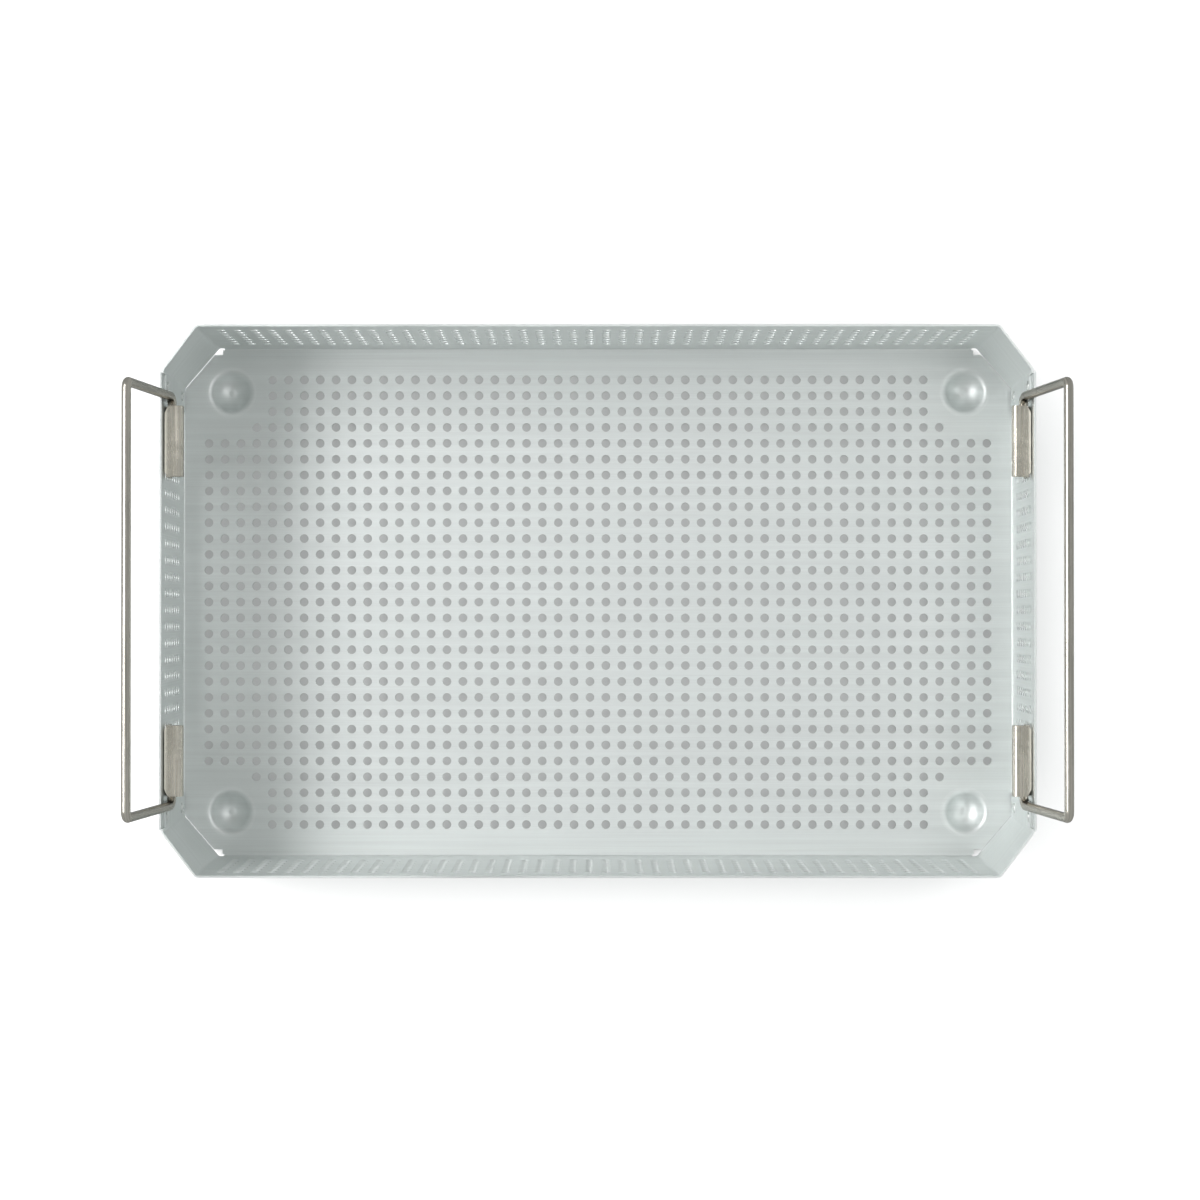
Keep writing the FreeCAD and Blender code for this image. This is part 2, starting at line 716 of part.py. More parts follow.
def make_corner_rivets():
    spacing = "Dimensions.corner_rivet_high - Dimensions.corner_rivet_low"
    for end, toward_end in ENDS.items():
        for side, toward_side in SIDES.items():
            along = toward_end * dim("corner_rivet_y")
            lowest = on_end_wall(along, dim("corner_rivet_low"), toward_side)
            name = "corner_rivets_%s_%s" % (end, side)
            make_rivets(name, size("sheet_thickness"), spacing, "Z_Axis", lowest)


# ---------------------------------------------------------------- handles

def make_handle(side):
    """Bent wire: stub, leg, grip, leg, stub. Local Y is the pivot and local Z runs up the legs."""
    name = side + "_handle"
    half = size("leg_spacing") / 2
    stub = size("stub_end")
    leg = size("leg_length")
    foot_bend = size("stub_bend")
    top_bend = size("grip_bend")

    body = add_body(name)
    spine = add_sketch(body, name + "_spine", "YZ_Plane")
    points = [
        (-stub, 0),
        (-(half - foot_bend), 0),
        (-half, foot_bend),
        (-half, leg - top_bend),
        (-(half - top_bend), leg),
        (half - top_bend, leg),
        (half, leg - top_bend),
        (half, foot_bend),
        (half - foot_bend, 0),
        (stub, 0),
    ]
    arcs = {1: (foot_bend, -1), 3: (top_bend, -1), 5: (top_bend, -1), 7: (foot_bend, -1)}
    draw(spine, points, arcs, closed=False)

    section = add_sketch(body, name + "_section", "XZ_Plane")
    section.setExpression(".AttachmentOffset.Base.z", "Dimensions.stub_end")
    radius = size("wire_diameter") / 2
    circle = section.addGeometry(Part.Circle(V(0, 0, 0), V(0, 0, 1), radius.value), False)
    section.addConstraint(Sketcher.Constraint("Coincident", circle, 3, -1, 1))
    bind(section, Sketcher.Constraint("Radius", circle, radius.value), radius.text)
    doc.recompute()

    wire = body.newObject("PartDesign::AdditivePipe", name + "_wire")
    wire.Profile = section
    wire.Spine = (spine, ["Edge%d" % number for number in range(1, len(points))])
    lean = FreeCAD.Rotation(V(0, 1, 0), SIDES[side] * dim("handle_lean"))
    body.Placement = FreeCAD.Placement(V(SIDES[side] * dim("pivot_x"), 0, PIVOT_Z), lean)


# ---------------------------------------------------------------- build, check and write

make_floor()
make_long_walls()
make_end_walls()
make_corner_panels()
make_feet()
make_brackets()
make_corner_rivets()
for side in SIDES:
    make_handle(side)
doc.recompute()

for item in doc.Objects:
    if "Invalid" in item.State or "Error" in item.State:
        raise RuntimeError("%s is in state %s" % (item.Name, item.State))
os.makedirs("parts", exist_ok=True)
for name, part in parts.items():
    if part.Shape.isNull() or not part.Shape.isValid():
        raise RuntimeError(name + " has no valid shape")
for name, part in parts.items():
    part.Shape.exportStep("parts/%s.step" % name)
    print("%-28s %9.1f mm3, %d solid(s)" % (name, part.Shape.Volume, len(part.Shape.Solids)))
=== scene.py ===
"""Perforated instrument tray with two wire drop handles, on a pale studio floor."""

import json
import math

import bpy
import numpy as np
from mathutils import Matrix, Vector
from mathutils.geometry import tessellate_polygon

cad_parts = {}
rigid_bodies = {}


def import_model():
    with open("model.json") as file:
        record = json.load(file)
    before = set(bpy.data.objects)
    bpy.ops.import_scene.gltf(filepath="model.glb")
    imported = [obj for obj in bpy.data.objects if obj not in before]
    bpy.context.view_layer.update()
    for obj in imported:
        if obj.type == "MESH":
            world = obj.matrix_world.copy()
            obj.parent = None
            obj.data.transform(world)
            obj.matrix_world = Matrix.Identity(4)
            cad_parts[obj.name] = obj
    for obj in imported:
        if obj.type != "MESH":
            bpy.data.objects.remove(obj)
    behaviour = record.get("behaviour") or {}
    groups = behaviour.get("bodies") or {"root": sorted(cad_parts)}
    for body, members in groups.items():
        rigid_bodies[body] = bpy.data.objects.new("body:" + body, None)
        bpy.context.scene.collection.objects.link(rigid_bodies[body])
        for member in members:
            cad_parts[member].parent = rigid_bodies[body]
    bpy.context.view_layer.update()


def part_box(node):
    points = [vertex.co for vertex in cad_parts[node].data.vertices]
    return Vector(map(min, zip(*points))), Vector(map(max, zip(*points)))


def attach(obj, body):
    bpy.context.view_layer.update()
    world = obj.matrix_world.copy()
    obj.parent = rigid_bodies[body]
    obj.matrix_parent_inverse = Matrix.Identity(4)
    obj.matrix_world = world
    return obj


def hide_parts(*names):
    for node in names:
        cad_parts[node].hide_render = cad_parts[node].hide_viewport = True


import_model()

MM = 0.001
SIDES = {"left": -1, "right": 1}
ENDS = {"front": -1, "back": 1}
CORNERS = [(end, side) for end in ENDS for side in SIDES]

# ---------------------------------------------------------------- sizes, from the frame and in mm

FLOOR_LOW, FLOOR_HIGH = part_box("floor_panel")
FLOOR_TOP = FLOOR_HIGH[2] / MM
FLOOR_EDGE_X = FLOOR_HIGH[0] / MM
FLOOR_EDGE_Y = FLOOR_HIGH[1] / MM
THICKNESS = (FLOOR_HIGH[2] - FLOOR_LOW[2]) / MM
RIM_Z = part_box("corner_panel_back_right")[1][2] / MM
DEPTH = RIM_Z - FLOOR_TOP

PITCH = 7.8
HOLE_RADIUS = 2.1
HOLE_SIDES = 20
EDGE = 0.12                        # rounding of punched and sheared edges
SLIVER_AREA = 1e-7                 # flat triangles smaller than this are left out, in mm2

BEND_RADIUS = 1.0                  # inner radius of the floor-to-wall bends
BEND_STEPS = 10
LONG_WALL_TURN = 88.73             # degrees: the long walls flare out a little
END_WALL_TURN = 92.25              # the end walls lean in a little
LONG_WALL_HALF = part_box("back_wall")[1][0] / MM
END_WALL_HALF_FOOT = 103.4
END_WALL_HALF_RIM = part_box("right_end_wall")[1][1] / MM
LONG_WALL_FIRST_ROW = 16.4
END_WALL_FIRST_ROW = 15.6
WALL_ROWS = 7
LONG_WALL_COLUMNS = 23
END_WALL_COLUMNS = 8

FLOOR_ROWS = 14
FULL_ROWS = 10
RELIEF_ROW = 11
COLUMNS_FULL = 25
COLUMNS_AT_RELIEF = 22
COLUMNS_AT_EDGE = 21

RELIEF_X = 184.3                   # the floor's relief notch at each corner
RELIEF_Y = 121.4
CORNER_GAP = 0.25
LONG_FOLD = (186.4, 185.2)         # vertical folds, at the floor and at the rim
END_FOLD = (105.3, 106.8)
FOLD_RADIUS = 1.8
FOLD_STEPS = 8
TAB_END = 93.0
TAB_BOTTOM = 1.5
TAB_HEIGHT = 68.0

DISH_SIDES = 64
DISH_START = 11.6                  # radius where the flat turns into the dish
DISH_BLEND = 3.3
DISH_PAD_SAG = 0.38
DISH_STEPS = 12
DISH_BLEND_STEPS = 6
NIB_RADIUS = 1.65
NIB_HEIGHT = 0.35
NIB_CROWN = ((0, 0), (0.45, 0), (0.75, 0.2))     # (share of its radius, drop as share of its height)

WIRE_RADIUS = 2.1
WIRE_SIDES = 40
WIRE_BEND_STEPS = 12
WIRE_END_EDGE = 0.35
PIVOT_X = 197.7
PIVOT_Z = FLOOR_TOP + 66.5
LEG_SPACING = 189.8
LEG_LENGTH = 76.5
GRIP_BEND = 3.3
STUB_BEND = 4.5
STUB_END = 61.0
HANDLE_LEAN = 5.0                  # degrees

STRIP = 1.2                        # bracket strip thickness
STRIP_BEND = 1.6                   # centre-line radius of its bends
STRIP_EDGE = 0.16                  # rounding of its sheared edges
STRIP_CUT_EDGE = 0.01              # the same across the faces of its two cut ends
STRIP_BEND_STEPS = 8
BRACKET_LENGTH = 32.8
BRACKET_MIDDLE = 74.2
BRACKET_DEPTH = 8.8
BRACKET_EDGE_GAP = 0.4
BRACKET_PLATE = 18.0
BRACKET_SLACK = 0.25
BRACKET_CORNER = 1.7               # cut off the free edge's corners
BRACKET_LEG_CORNER = 3.5           # the same corner at the handle's leg, along the bracket

RIVET_SIDES = 32
RIVET_SHANK = 1.6
RIVET_HEAD = 2.6
RIVET_HEAD_HEIGHT = 0.8
RIVET_TAIL = 2.35
RIVET_TAIL_HEIGHT = 0.5
BRACKET_RIVET_SPACING = 18.0
BRACKET_RIVET_DROP = 11.5
CORNER_RIVET_Y = 100.2
CORNER_RIVET_HEIGHTS = (12.0, 63.5)
# outlines, as shares of the radius and of the height
RIVET_HEAD_OUTLINE = ((0, 1), (0.42, 0.97), (0.7, 0.8), (0.9, 0.5), (1, 0.14), (1, 0))
RIVET_TAIL_OUTLINE = ((1, 0), (1, 0.4), (0.85, 0.8), (0.62, 1), (0, 1))


# ---------------------------------------------------------------- mesh helpers

def finish_mesh(name, points, faces, uvs, normals=None, sharp_angle=None):
    """A mesh object from points in mm. uvs is one (u, v) in mm for each corner of each face."""
    mesh = bpy.data.meshes.new(name)
    mesh.from_pydata([Vector(point) * MM for point in points], [], faces)
    layer = mesh.uv_layers.new(name="grain")
    layer.data.foreach_set("uv", (np.array(uvs, dtype=np.float32) * MM).ravel())
    mesh.polygons.foreach_set("use_smooth", [True] * len(mesh.polygons))
    if normals is not None:
        mesh.normals_split_custom_set(normals)
    if sharp_angle is not None:
        mesh.set_sharp_from_angle(angle=math.radians(sharp_angle))
    mesh.update()
    piece = bpy.data.objects.new(name, mesh)
    bpy.context.collection.objects.link(piece)
    return piece


class Sheet:
    """Sheet metal drawn flat as (s, t) and depth n, then folded into place.

    n is 0 on the inner face and -THICKNESS on the outer one. A bent sheet wraps round its bend
    towards the floor where t < 0. The grain runs along s, or along t if grain_up.
    """

    def __init__(self, origin, along, up, inward, bent, grain_up=False):
        self.bent = bent
        self.grain_up = grain_up
        self.origin = Vector(origin)
        self.along = Vector(along)
        self.up = Vector(up)
        self.inward = Vector(inward)
        self.numbers = {}
        self.points = []
        self.faces = []
        self.normals = []

    def point(self, s, t, n):
        key = (round(s, 3), round(t, 3), round(n, 3))
        if key not in self.numbers:
            self.numbers[key] = len(self.points)
            self.points.append((s, t, n))
        return self.numbers[key]

    def face(self, corners, normals):
        """One face from (s, t, n) corners and a local normal for each."""
        self.faces.append([self.point(*corner) for corner in corners])
        self.normals.append(normals)

    def basis(self, t):
        """Where the inner face is at t, and its up and inward directions there."""
        if t >= 0 or not self.bent:
            return self.origin + self.up * t, self.up, self.inward
        turn = t / (BEND_RADIUS + THICKNESS / 2)
        axis = self.origin + self.inward * BEND_RADIUS
        spin = Matrix.Rotation(turn, 3, self.along)
        inward = spin @ self.inward
        return axis - inward * BEND_RADIUS, spin @ self.up, inward

    def build(self, name):
        places = {}
        for s, t, n in self.points:
            if t not in places:
                places[t] = self.basis(t)
        points = []
        for s, t, n in self.points:
            base, up, inward = places[t]
            points.append(base + self.along * s + inward * n)
        uvs = []
        normals = []
        for face, face_normals in zip(self.faces, self.normals):
            for number, normal in zip(face, face_normals):
                s, t, n = self.points[number]
                base, up, inward = places[t]
                uvs.append((t, s) if self.grain_up else (s, t))
                world = self.along * normal[0] + up * normal[1] + inward * normal[2]
                normals.append(world.normalized())
        return finish_mesh(name, points, self.faces, uvs, normals)


def ring_angles(count):
    """Anticlockwise from 45 degrees, so that a square's corners face points of the ring."""
    return [math.radians(45) + 2 * math.pi * i / count for i in range(count)]


def circle_points(centre, radius, count):
    return [
        (centre[0] + radius * math.cos(angle), centre[1] + radius * math.sin(angle))
        for angle in ring_angles(count)
    ]


def signed_area(loop):
    return sum(a[0] * b[1] - b[0] * a[1] for a, b in zip(loop, loop[1:] + loop[:1])) / 2


def inset(loop, distances):
    """An anticlockwise loop with side i, from point i to the next, moved in by distances[i]."""
    moved = []
    count = len(loop)
    for i in range(count):
        previous, here, following = loop[i - 1], loop[i], loop[(i + 1) % count]
        into = Vector((here[0] - previous[0], here[1] - previous[1])).normalized()
        out = Vector((following[0] - here[0], following[1] - here[1])).normalized()
        left_in = Vector((-into.y, into.x)) * distances[i - 1]
        left_out = Vector((-out.y, out.x)) * distances[i]
        cross = into.x * out.y - into.y * out.x
        if abs(cross) < 1e-6:
            shift = left_out
        else:
            gap = left_out - left_in
            shift = left_in + into * ((gap.x * out.y - gap.y * out.x) / cross)
        moved.append((here[0] + shift.x, here[1] + shift.y))
    return moved


def cell_border(cells):
    """Loops round the square cells, each cell given by its centre."""
    half = PITCH / 2
    steps = {}                     # sides that no neighbouring cell shares, in the order they came
    for x, y in cells:
        corners = ((-half, -half), (half, -half), (half, half), (-half, half))
        square = [(round(x + a, 3), round(y + b, 3)) for a, b in corners]
        for start, stop in zip(square, square[1:] + square[:1]):
            if (stop, start) in steps:
                del steps[(stop, start)]
            else:
                steps[(start, stop)] = True
    after = dict(steps.keys())
    loops = []
    while after:
        first = next(iter(after))
        loop = [first]
        here = after.pop(first)
        while here != first:
            loop.append(here)
            here = after.pop(here)
        loops.append(loop)
    return loops


def perforate(sheet, centre, lower_edge):
    """One square cell with its punched hole."""
    half = PITCH / 2
    rims = [
        (HOLE_RADIUS + EDGE, 0),
        (HOLE_RADIUS, -EDGE),
        (HOLE_RADIUS, -(THICKNESS - EDGE)),
        (HOLE_RADIUS + EDGE, -THICKNESS),
    ]
    if not lower_edge:
        rims[2:] = [(HOLE_RADIUS, -THICKNESS)]
    rings = [[(x, y, n) for x, y in circle_points(centre, radius, HOLE_SIDES)] for radius, n in rims]
    toward = [(-math.cos(angle), -math.sin(angle), 0) for angle in ring_angles(HOLE_SIDES)]
    up, down = (0, 0, 1), (0, 0, -1)
    last = len(rings) - 1
    for upper in range(last):
        for i in range(HOLE_SIDES):
            j = (i + 1) % HOLE_SIDES
            top_i = up if upper == 0 else toward[i]
            top_j = up if upper == 0 else toward[j]
            low_i, low_j = toward[i], toward[j]
            if lower_edge and upper + 1 == last:
                low_i = low_j = down
            sheet.face(
                [rings[upper][i], rings[upper][j], rings[upper + 1][j], rings[upper + 1][i]],
                [top_i, top_j, low_j, low_i],
            )
    square = [(half, half), (-half, half), (-half, -half), (half, -half)]
    quarter = HOLE_SIDES // 4
    for side in range(4):
        near = (round(centre[0] + square[side][0], 3), round(centre[1] + square[side][1], 3))
        far = square[(side + 1) % 4]
        far = (round(centre[0] + far[0], 3), round(centre[1] + far[1], 3))
        turn = [(side * quarter + k) % HOLE_SIDES for k in range(quarter + 1)]
        top = [(*near, 0), (*far, 0)] + [rings[0][k] for k in reversed(turn)]
        sheet.face(top, [up] * len(top))
        low = [(*far, -THICKNESS), (*near, -THICKNESS)] + [rings[last][k] for k in turn]
        sheet.face(low, [down] * len(low))


def blank_areas(sheet, loops):
    """Plain sheet between an outline and the loops inside it, on both faces."""
    flat = [[Vector((x, y, 0)) for x, y in loop] for loop in loops]
    spots = [spot for loop in flat for spot in loop]
    triangles = tessellate_polygon(flat)
    for depth, facing in ((0, 1), (-THICKNESS, -1)):
        for triangle in triangles:
            corners = [(spots[k].x, spots[k].y) for k in triangle]
            area = signed_area(corners)
            if abs(area) < SLIVER_AREA:
                continue
            if area * facing < 0:
                corners.reverse()
            sheet.face([(x, y, depth) for x, y in corners], [(0, 0, facing)] * 3)


def sheared_edge(sheet, start, stop, start_in, stop_in):
    """The rounded edge of the sheet from start to stop, where the sheet lies to the left."""
    run = Vector((stop[0] - start[0], stop[1] - start[1])).normalized()
    out = (run.y, -run.x, 0)
    up, down = (0, 0, 1), (0, 0, -1)
    levels = [
        (start_in, stop_in, 0, up),
        (start, stop, -EDGE, out),
        (start, stop, -(THICKNESS - EDGE), out),
        (start_in, stop_in, -THICKNESS, down),
    ]
    for (a, b, n, high), (c, d, low_n, low) in zip(levels, levels[1:]):
        sheet.face([(*b, n), (*a, n), (*c, low_n), (*d, low_n)], [high, high, low, low])


def plain_edge(sheet, start, stop):
    """A square cut where this panel joins its neighbour."""
    run = Vector((stop[0] - start[0], stop[1] - start[1])).normalized()
    out = (run.y, -run.x, 0)
    corners = [(*stop, 0), (*start, 0), (*start, -THICKNESS), (*stop, -THICKNESS)]
    sheet.face(corners, [out] * 4)


def flat_panel(sheet, outline, joined, cells, openings=(), lower_edge=True):
    """Perforated panel inside an anticlockwise outline, whose sides in joined meet a neighbour."""
    distances = [0 if i in joined else EDGE for i in range(len(outline))]
    inner = inset(outline, distances)
    for i in range(len(outline)):
        j = (i + 1) % len(outline)
        if i not in joined:
            sheared_edge(sheet, outline[i], outline[j], inner[i], inner[j])
    blank_areas(sheet, [inner, *cell_border(cells), *openings])
    for loop in openings:
        for start, stop in zip(loop, loop[1:] + loop[:1]):
            plain_edge(sheet, stop, start)
    for centre in cells:
        perforate(sheet, centre, lower_edge)


# ---------------------------------------------------------------- the sheet's panels

def slope_of_corner():
    """How the corner panel's foot runs in plan: fall in y for each mm in x, and its start."""
    start_y = wall_face(1, LONG_FOLD[0], 0)[1]
    stop_x = wall_face(0, END_FOLD[0], 0)[0]
    return (start_y - END_FOLD[0]) / (stop_x - LONG_FOLD[0]), start_y


def wall_face(axis, along, height):
    """Plan position on the outer face of the back wall (axis 1) or the inner face of the right
    end wall (axis 0) at a height above the floor."""
    turn = math.radians(LONG_WALL_TURN if axis else END_WALL_TURN)
    edge = FLOOR_EDGE_Y if axis else FLOOR_EDGE_X
    radius = BEND_RADIUS + THICKNESS if axis else BEND_RADIUS
    rise = height - BEND_RADIUS + radius * math.cos(turn)
    distance = edge + radius * math.sin(turn) + rise / math.tan(turn)
    return (along, distance) if axis else (distance, along)


def floor_outline():
    """Anticlockwise, and the numbers of the sides that meet the walls' bends."""
    slope, start_y = slope_of_corner()
    gap = (THICKNESS + CORNER_GAP) * math.hypot(1, slope)
    corner = [
        (RELIEF_X, FLOOR_EDGE_Y),
        (RELIEF_X, RELIEF_Y),
        (LONG_FOLD[0] + (start_y - gap - RELIEF_Y) / slope, RELIEF_Y),
        (FLOOR_EDGE_X, start_y - gap - (FLOOR_EDGE_X - LONG_FOLD[0]) * slope),
    ]
    outline = list(reversed(corner))
    outline += [(-x, y) for x, y in corner]
    outline += [(-x, -y) for x, y in reversed(corner)]
    outline += [(x, -y) for x, y in corner]
    joined = {len(corner) * quarter - 1 for quarter in (1, 2, 3, 4)}
    return outline, joined


def floor_cells():
    cells = []
    for row in range(-FLOOR_ROWS, FLOOR_ROWS + 1):
        if abs(row) <= FULL_ROWS:
            columns = COLUMNS_FULL
        elif abs(row) == RELIEF_ROW:
            columns = COLUMNS_AT_RELIEF
        else:
            columns = COLUMNS_AT_EDGE
        cells += [((column + 0.5) * PITCH, row * PITCH) for column in range(-columns, columns)]
    return cells


def bend_strip(sheet, half, turn, edge):
    """The bend at a wall's foot, with its two ends rounded by edge."""
    section = [
        (half - edge, 0),
        (half, -edge),
        (half, edge - THICKNESS),
        (half - edge, -THICKNESS),
    ]
    section = [(-s, n) for s, n in reversed(section)] + section
    normals = {0: (0, 0, 1), -THICKNESS: (0, 0, -1)}
    length = math.radians(turn) * (BEND_RADIUS + THICKNESS / 2)
    levels = [-length * step / BEND_STEPS for step in range(BEND_STEPS + 1)]
    for (s, n), (next_s, next_n) in zip(section, section[1:] + section[:1]):
        if (s, n) == (next_s, next_n):
            continue
        if n == next_n:
            ends = [normals[n], normals[n]]
        else:
            outward = (math.copysign(1, s), 0, 0)
            ends = [normals.get(level, outward) if edge else outward for level in (n, next_n)]
        for high, low in zip(levels, levels[1:]):
            corners = [(s, low, n), (next_s, low, next_n), (next_s, high, next_n), (s, high, n)]
            sheet.face(corners, [ends[0], ends[1], ends[1], ends[0]])


def wall_sheet(outward, distance, turn, grain_up):
    turn = math.radians(turn)
    outward = Vector(outward)
    upward = Vector((0, 0, 1))
    up = outward * math.cos(turn) + upward * math.sin(turn)
    inward = upward * math.cos(turn) - outward * math.sin(turn)
    axis = outward * distance + upward * (FLOOR_TOP + BEND_RADIUS)
    return Sheet(axis - inward * BEND_RADIUS, up.cross(inward), up, inward, True, grain_up)


def wall_cells(columns, first_row):
    return [
        ((column + 0.5) * PITCH, first_row - BEND_RADIUS + row * PITCH)
        for row in range(WALL_ROWS) for column in range(-columns, columns)
    ]


def make_wall(node, outward, long_wall):
    if long_wall:
        turn, half_foot, half_rim = LONG_WALL_TURN, LONG_WALL_HALF, LONG_WALL_HALF
        cells = wall_cells(LONG_WALL_COLUMNS, LONG_WALL_FIRST_ROW)
        distance, joined, edge = FLOOR_EDGE_Y, {0, 1, 3}, 0
    else:
        turn, half_foot, half_rim = END_WALL_TURN, END_WALL_HALF_FOOT, END_WALL_HALF_RIM
        cells = wall_cells(END_WALL_COLUMNS, END_WALL_FIRST_ROW)
        distance, joined, edge = FLOOR_EDGE_X, {0}, EDGE
    sheet = wall_sheet(outward, distance, turn, not long_wall)
    height = (DEPTH - BEND_RADIUS) / math.sin(math.radians(turn))
    outline = [(-half_foot, 0), (half_foot, 0), (half_rim, height), (-half_rim, height)]
    flat_panel(sheet, outline, joined, cells)
    bend_strip(sheet, half_foot, turn, edge)
    return dress(sheet.build(node + "_sheet"), "tray", "tray_sheet", node)


def dress(piece, body, slot, *nodes, finish=None):
    """Put a piece on its body, in place of its CAD nodes. Its finish is its slot's unless named."""
    piece.data.materials.append(finishes[finish or slot])
    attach(piece, body)
    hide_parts(*nodes)
    return piece


def make_floor():
    sheet = Sheet((0, 0, FLOOR_TOP), (1, 0, 0), (0, 1, 0), (0, 0, 1), bent=False)
    outline, joined = floor_outline()
    openings = []
    for end, side in CORNERS:
        low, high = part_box("foot_dish_%s_%s" % (end, side))
        middle = (low + high) / 2 / MM
        radius = (high.x - low.x) / 2 / MM
        openings.append(circle_points((middle.x, middle.y), radius, DISH_SIDES))
    flat_panel(sheet, outline, joined, floor_cells(), openings, lower_edge=False)
    for number in joined:
        plain_edge(sheet, outline[number], outline[(number + 1) % len(outline)])
    return dress(sheet.build("floor_sheet"), "tray", "tray_sheet", "floor_panel", finish="floor")


# ---------------------------------------------------------------- corner panels

def fillet(previous, corner, following, radius):
    """Points of the arc that rounds a corner of a plan."""
    previous, corner, following = Vector(previous), Vector(corner), Vector(following)
    back = (previous - corner).normalized()
    ahead = (following - corner).normalized()
    half_angle = back.angle(ahead) / 2
    bisector = (back + ahead).normalized()
    centre = corner + bisector * (radius / math.sin(half_angle))
    reach = radius / math.tan(half_angle)
    start = corner + back * reach - centre
    stop = corner + ahead * reach - centre
    sweep = start.angle_signed(stop)
    arc = []
    for step in range(FOLD_STEPS + 1):
        spin = Matrix.Rotation(-sweep * step / FOLD_STEPS, 2)
        arc.append(centre + spin @ start)
    return arc


def offset_corner(previous, corner, following, distance):
    """Where two sides meet after both move to their right by distance."""
    into = (Vector(corner) - Vector(previous)).normalized()
    out = (Vector(following) - Vector(corner)).normalized()
    right_in = Vector((into.y, -into.x))
    bisector = (right_in + Vector((out.y, -out.x))).normalized()
    return Vector(corner) + bisector * (distance / bisector.dot(right_in))


def corner_plan(level):
    """Stations of the back right corner panel at the floor (0) or the rim (1), as (inner, outer)
    points from the long wall to the end of the lap tab."""
    height = level * DEPTH
    start = wall_face(1, LONG_WALL_HALF, height)
    fold_long = wall_face(1, LONG_FOLD[level], height)
    fold_end = wall_face(0, END_FOLD[level], height)
    stop = (fold_end[0], TAB_END)
    first = offset_corner(start, fold_long, fold_end, THICKNESS)
    second = offset_corner(fold_long, fold_end, stop, THICKNESS)
    inner_start = (start[0], start[1] - THICKNESS)
    inner_stop = (stop[0] - THICKNESS, stop[1])
    tab_start = END_FOLD[level] - FOLD_RADIUS
    outer = [Vector(start)] + fillet(start, fold_long, fold_end, FOLD_RADIUS + THICKNESS)
    outer += fillet(fold_long, fold_end, stop, FOLD_RADIUS + THICKNESS)
    outer += [Vector((stop[0], tab_start)), Vector(stop)]
    inner = [Vector(inner_start)] + fillet(inner_start, first, second, FOLD_RADIUS)
    inner += fillet(first, second, inner_stop, FOLD_RADIUS)
    inner += [Vector((inner_stop[0], tab_start)), Vector(inner_stop)]
    return list(zip(inner, outer))


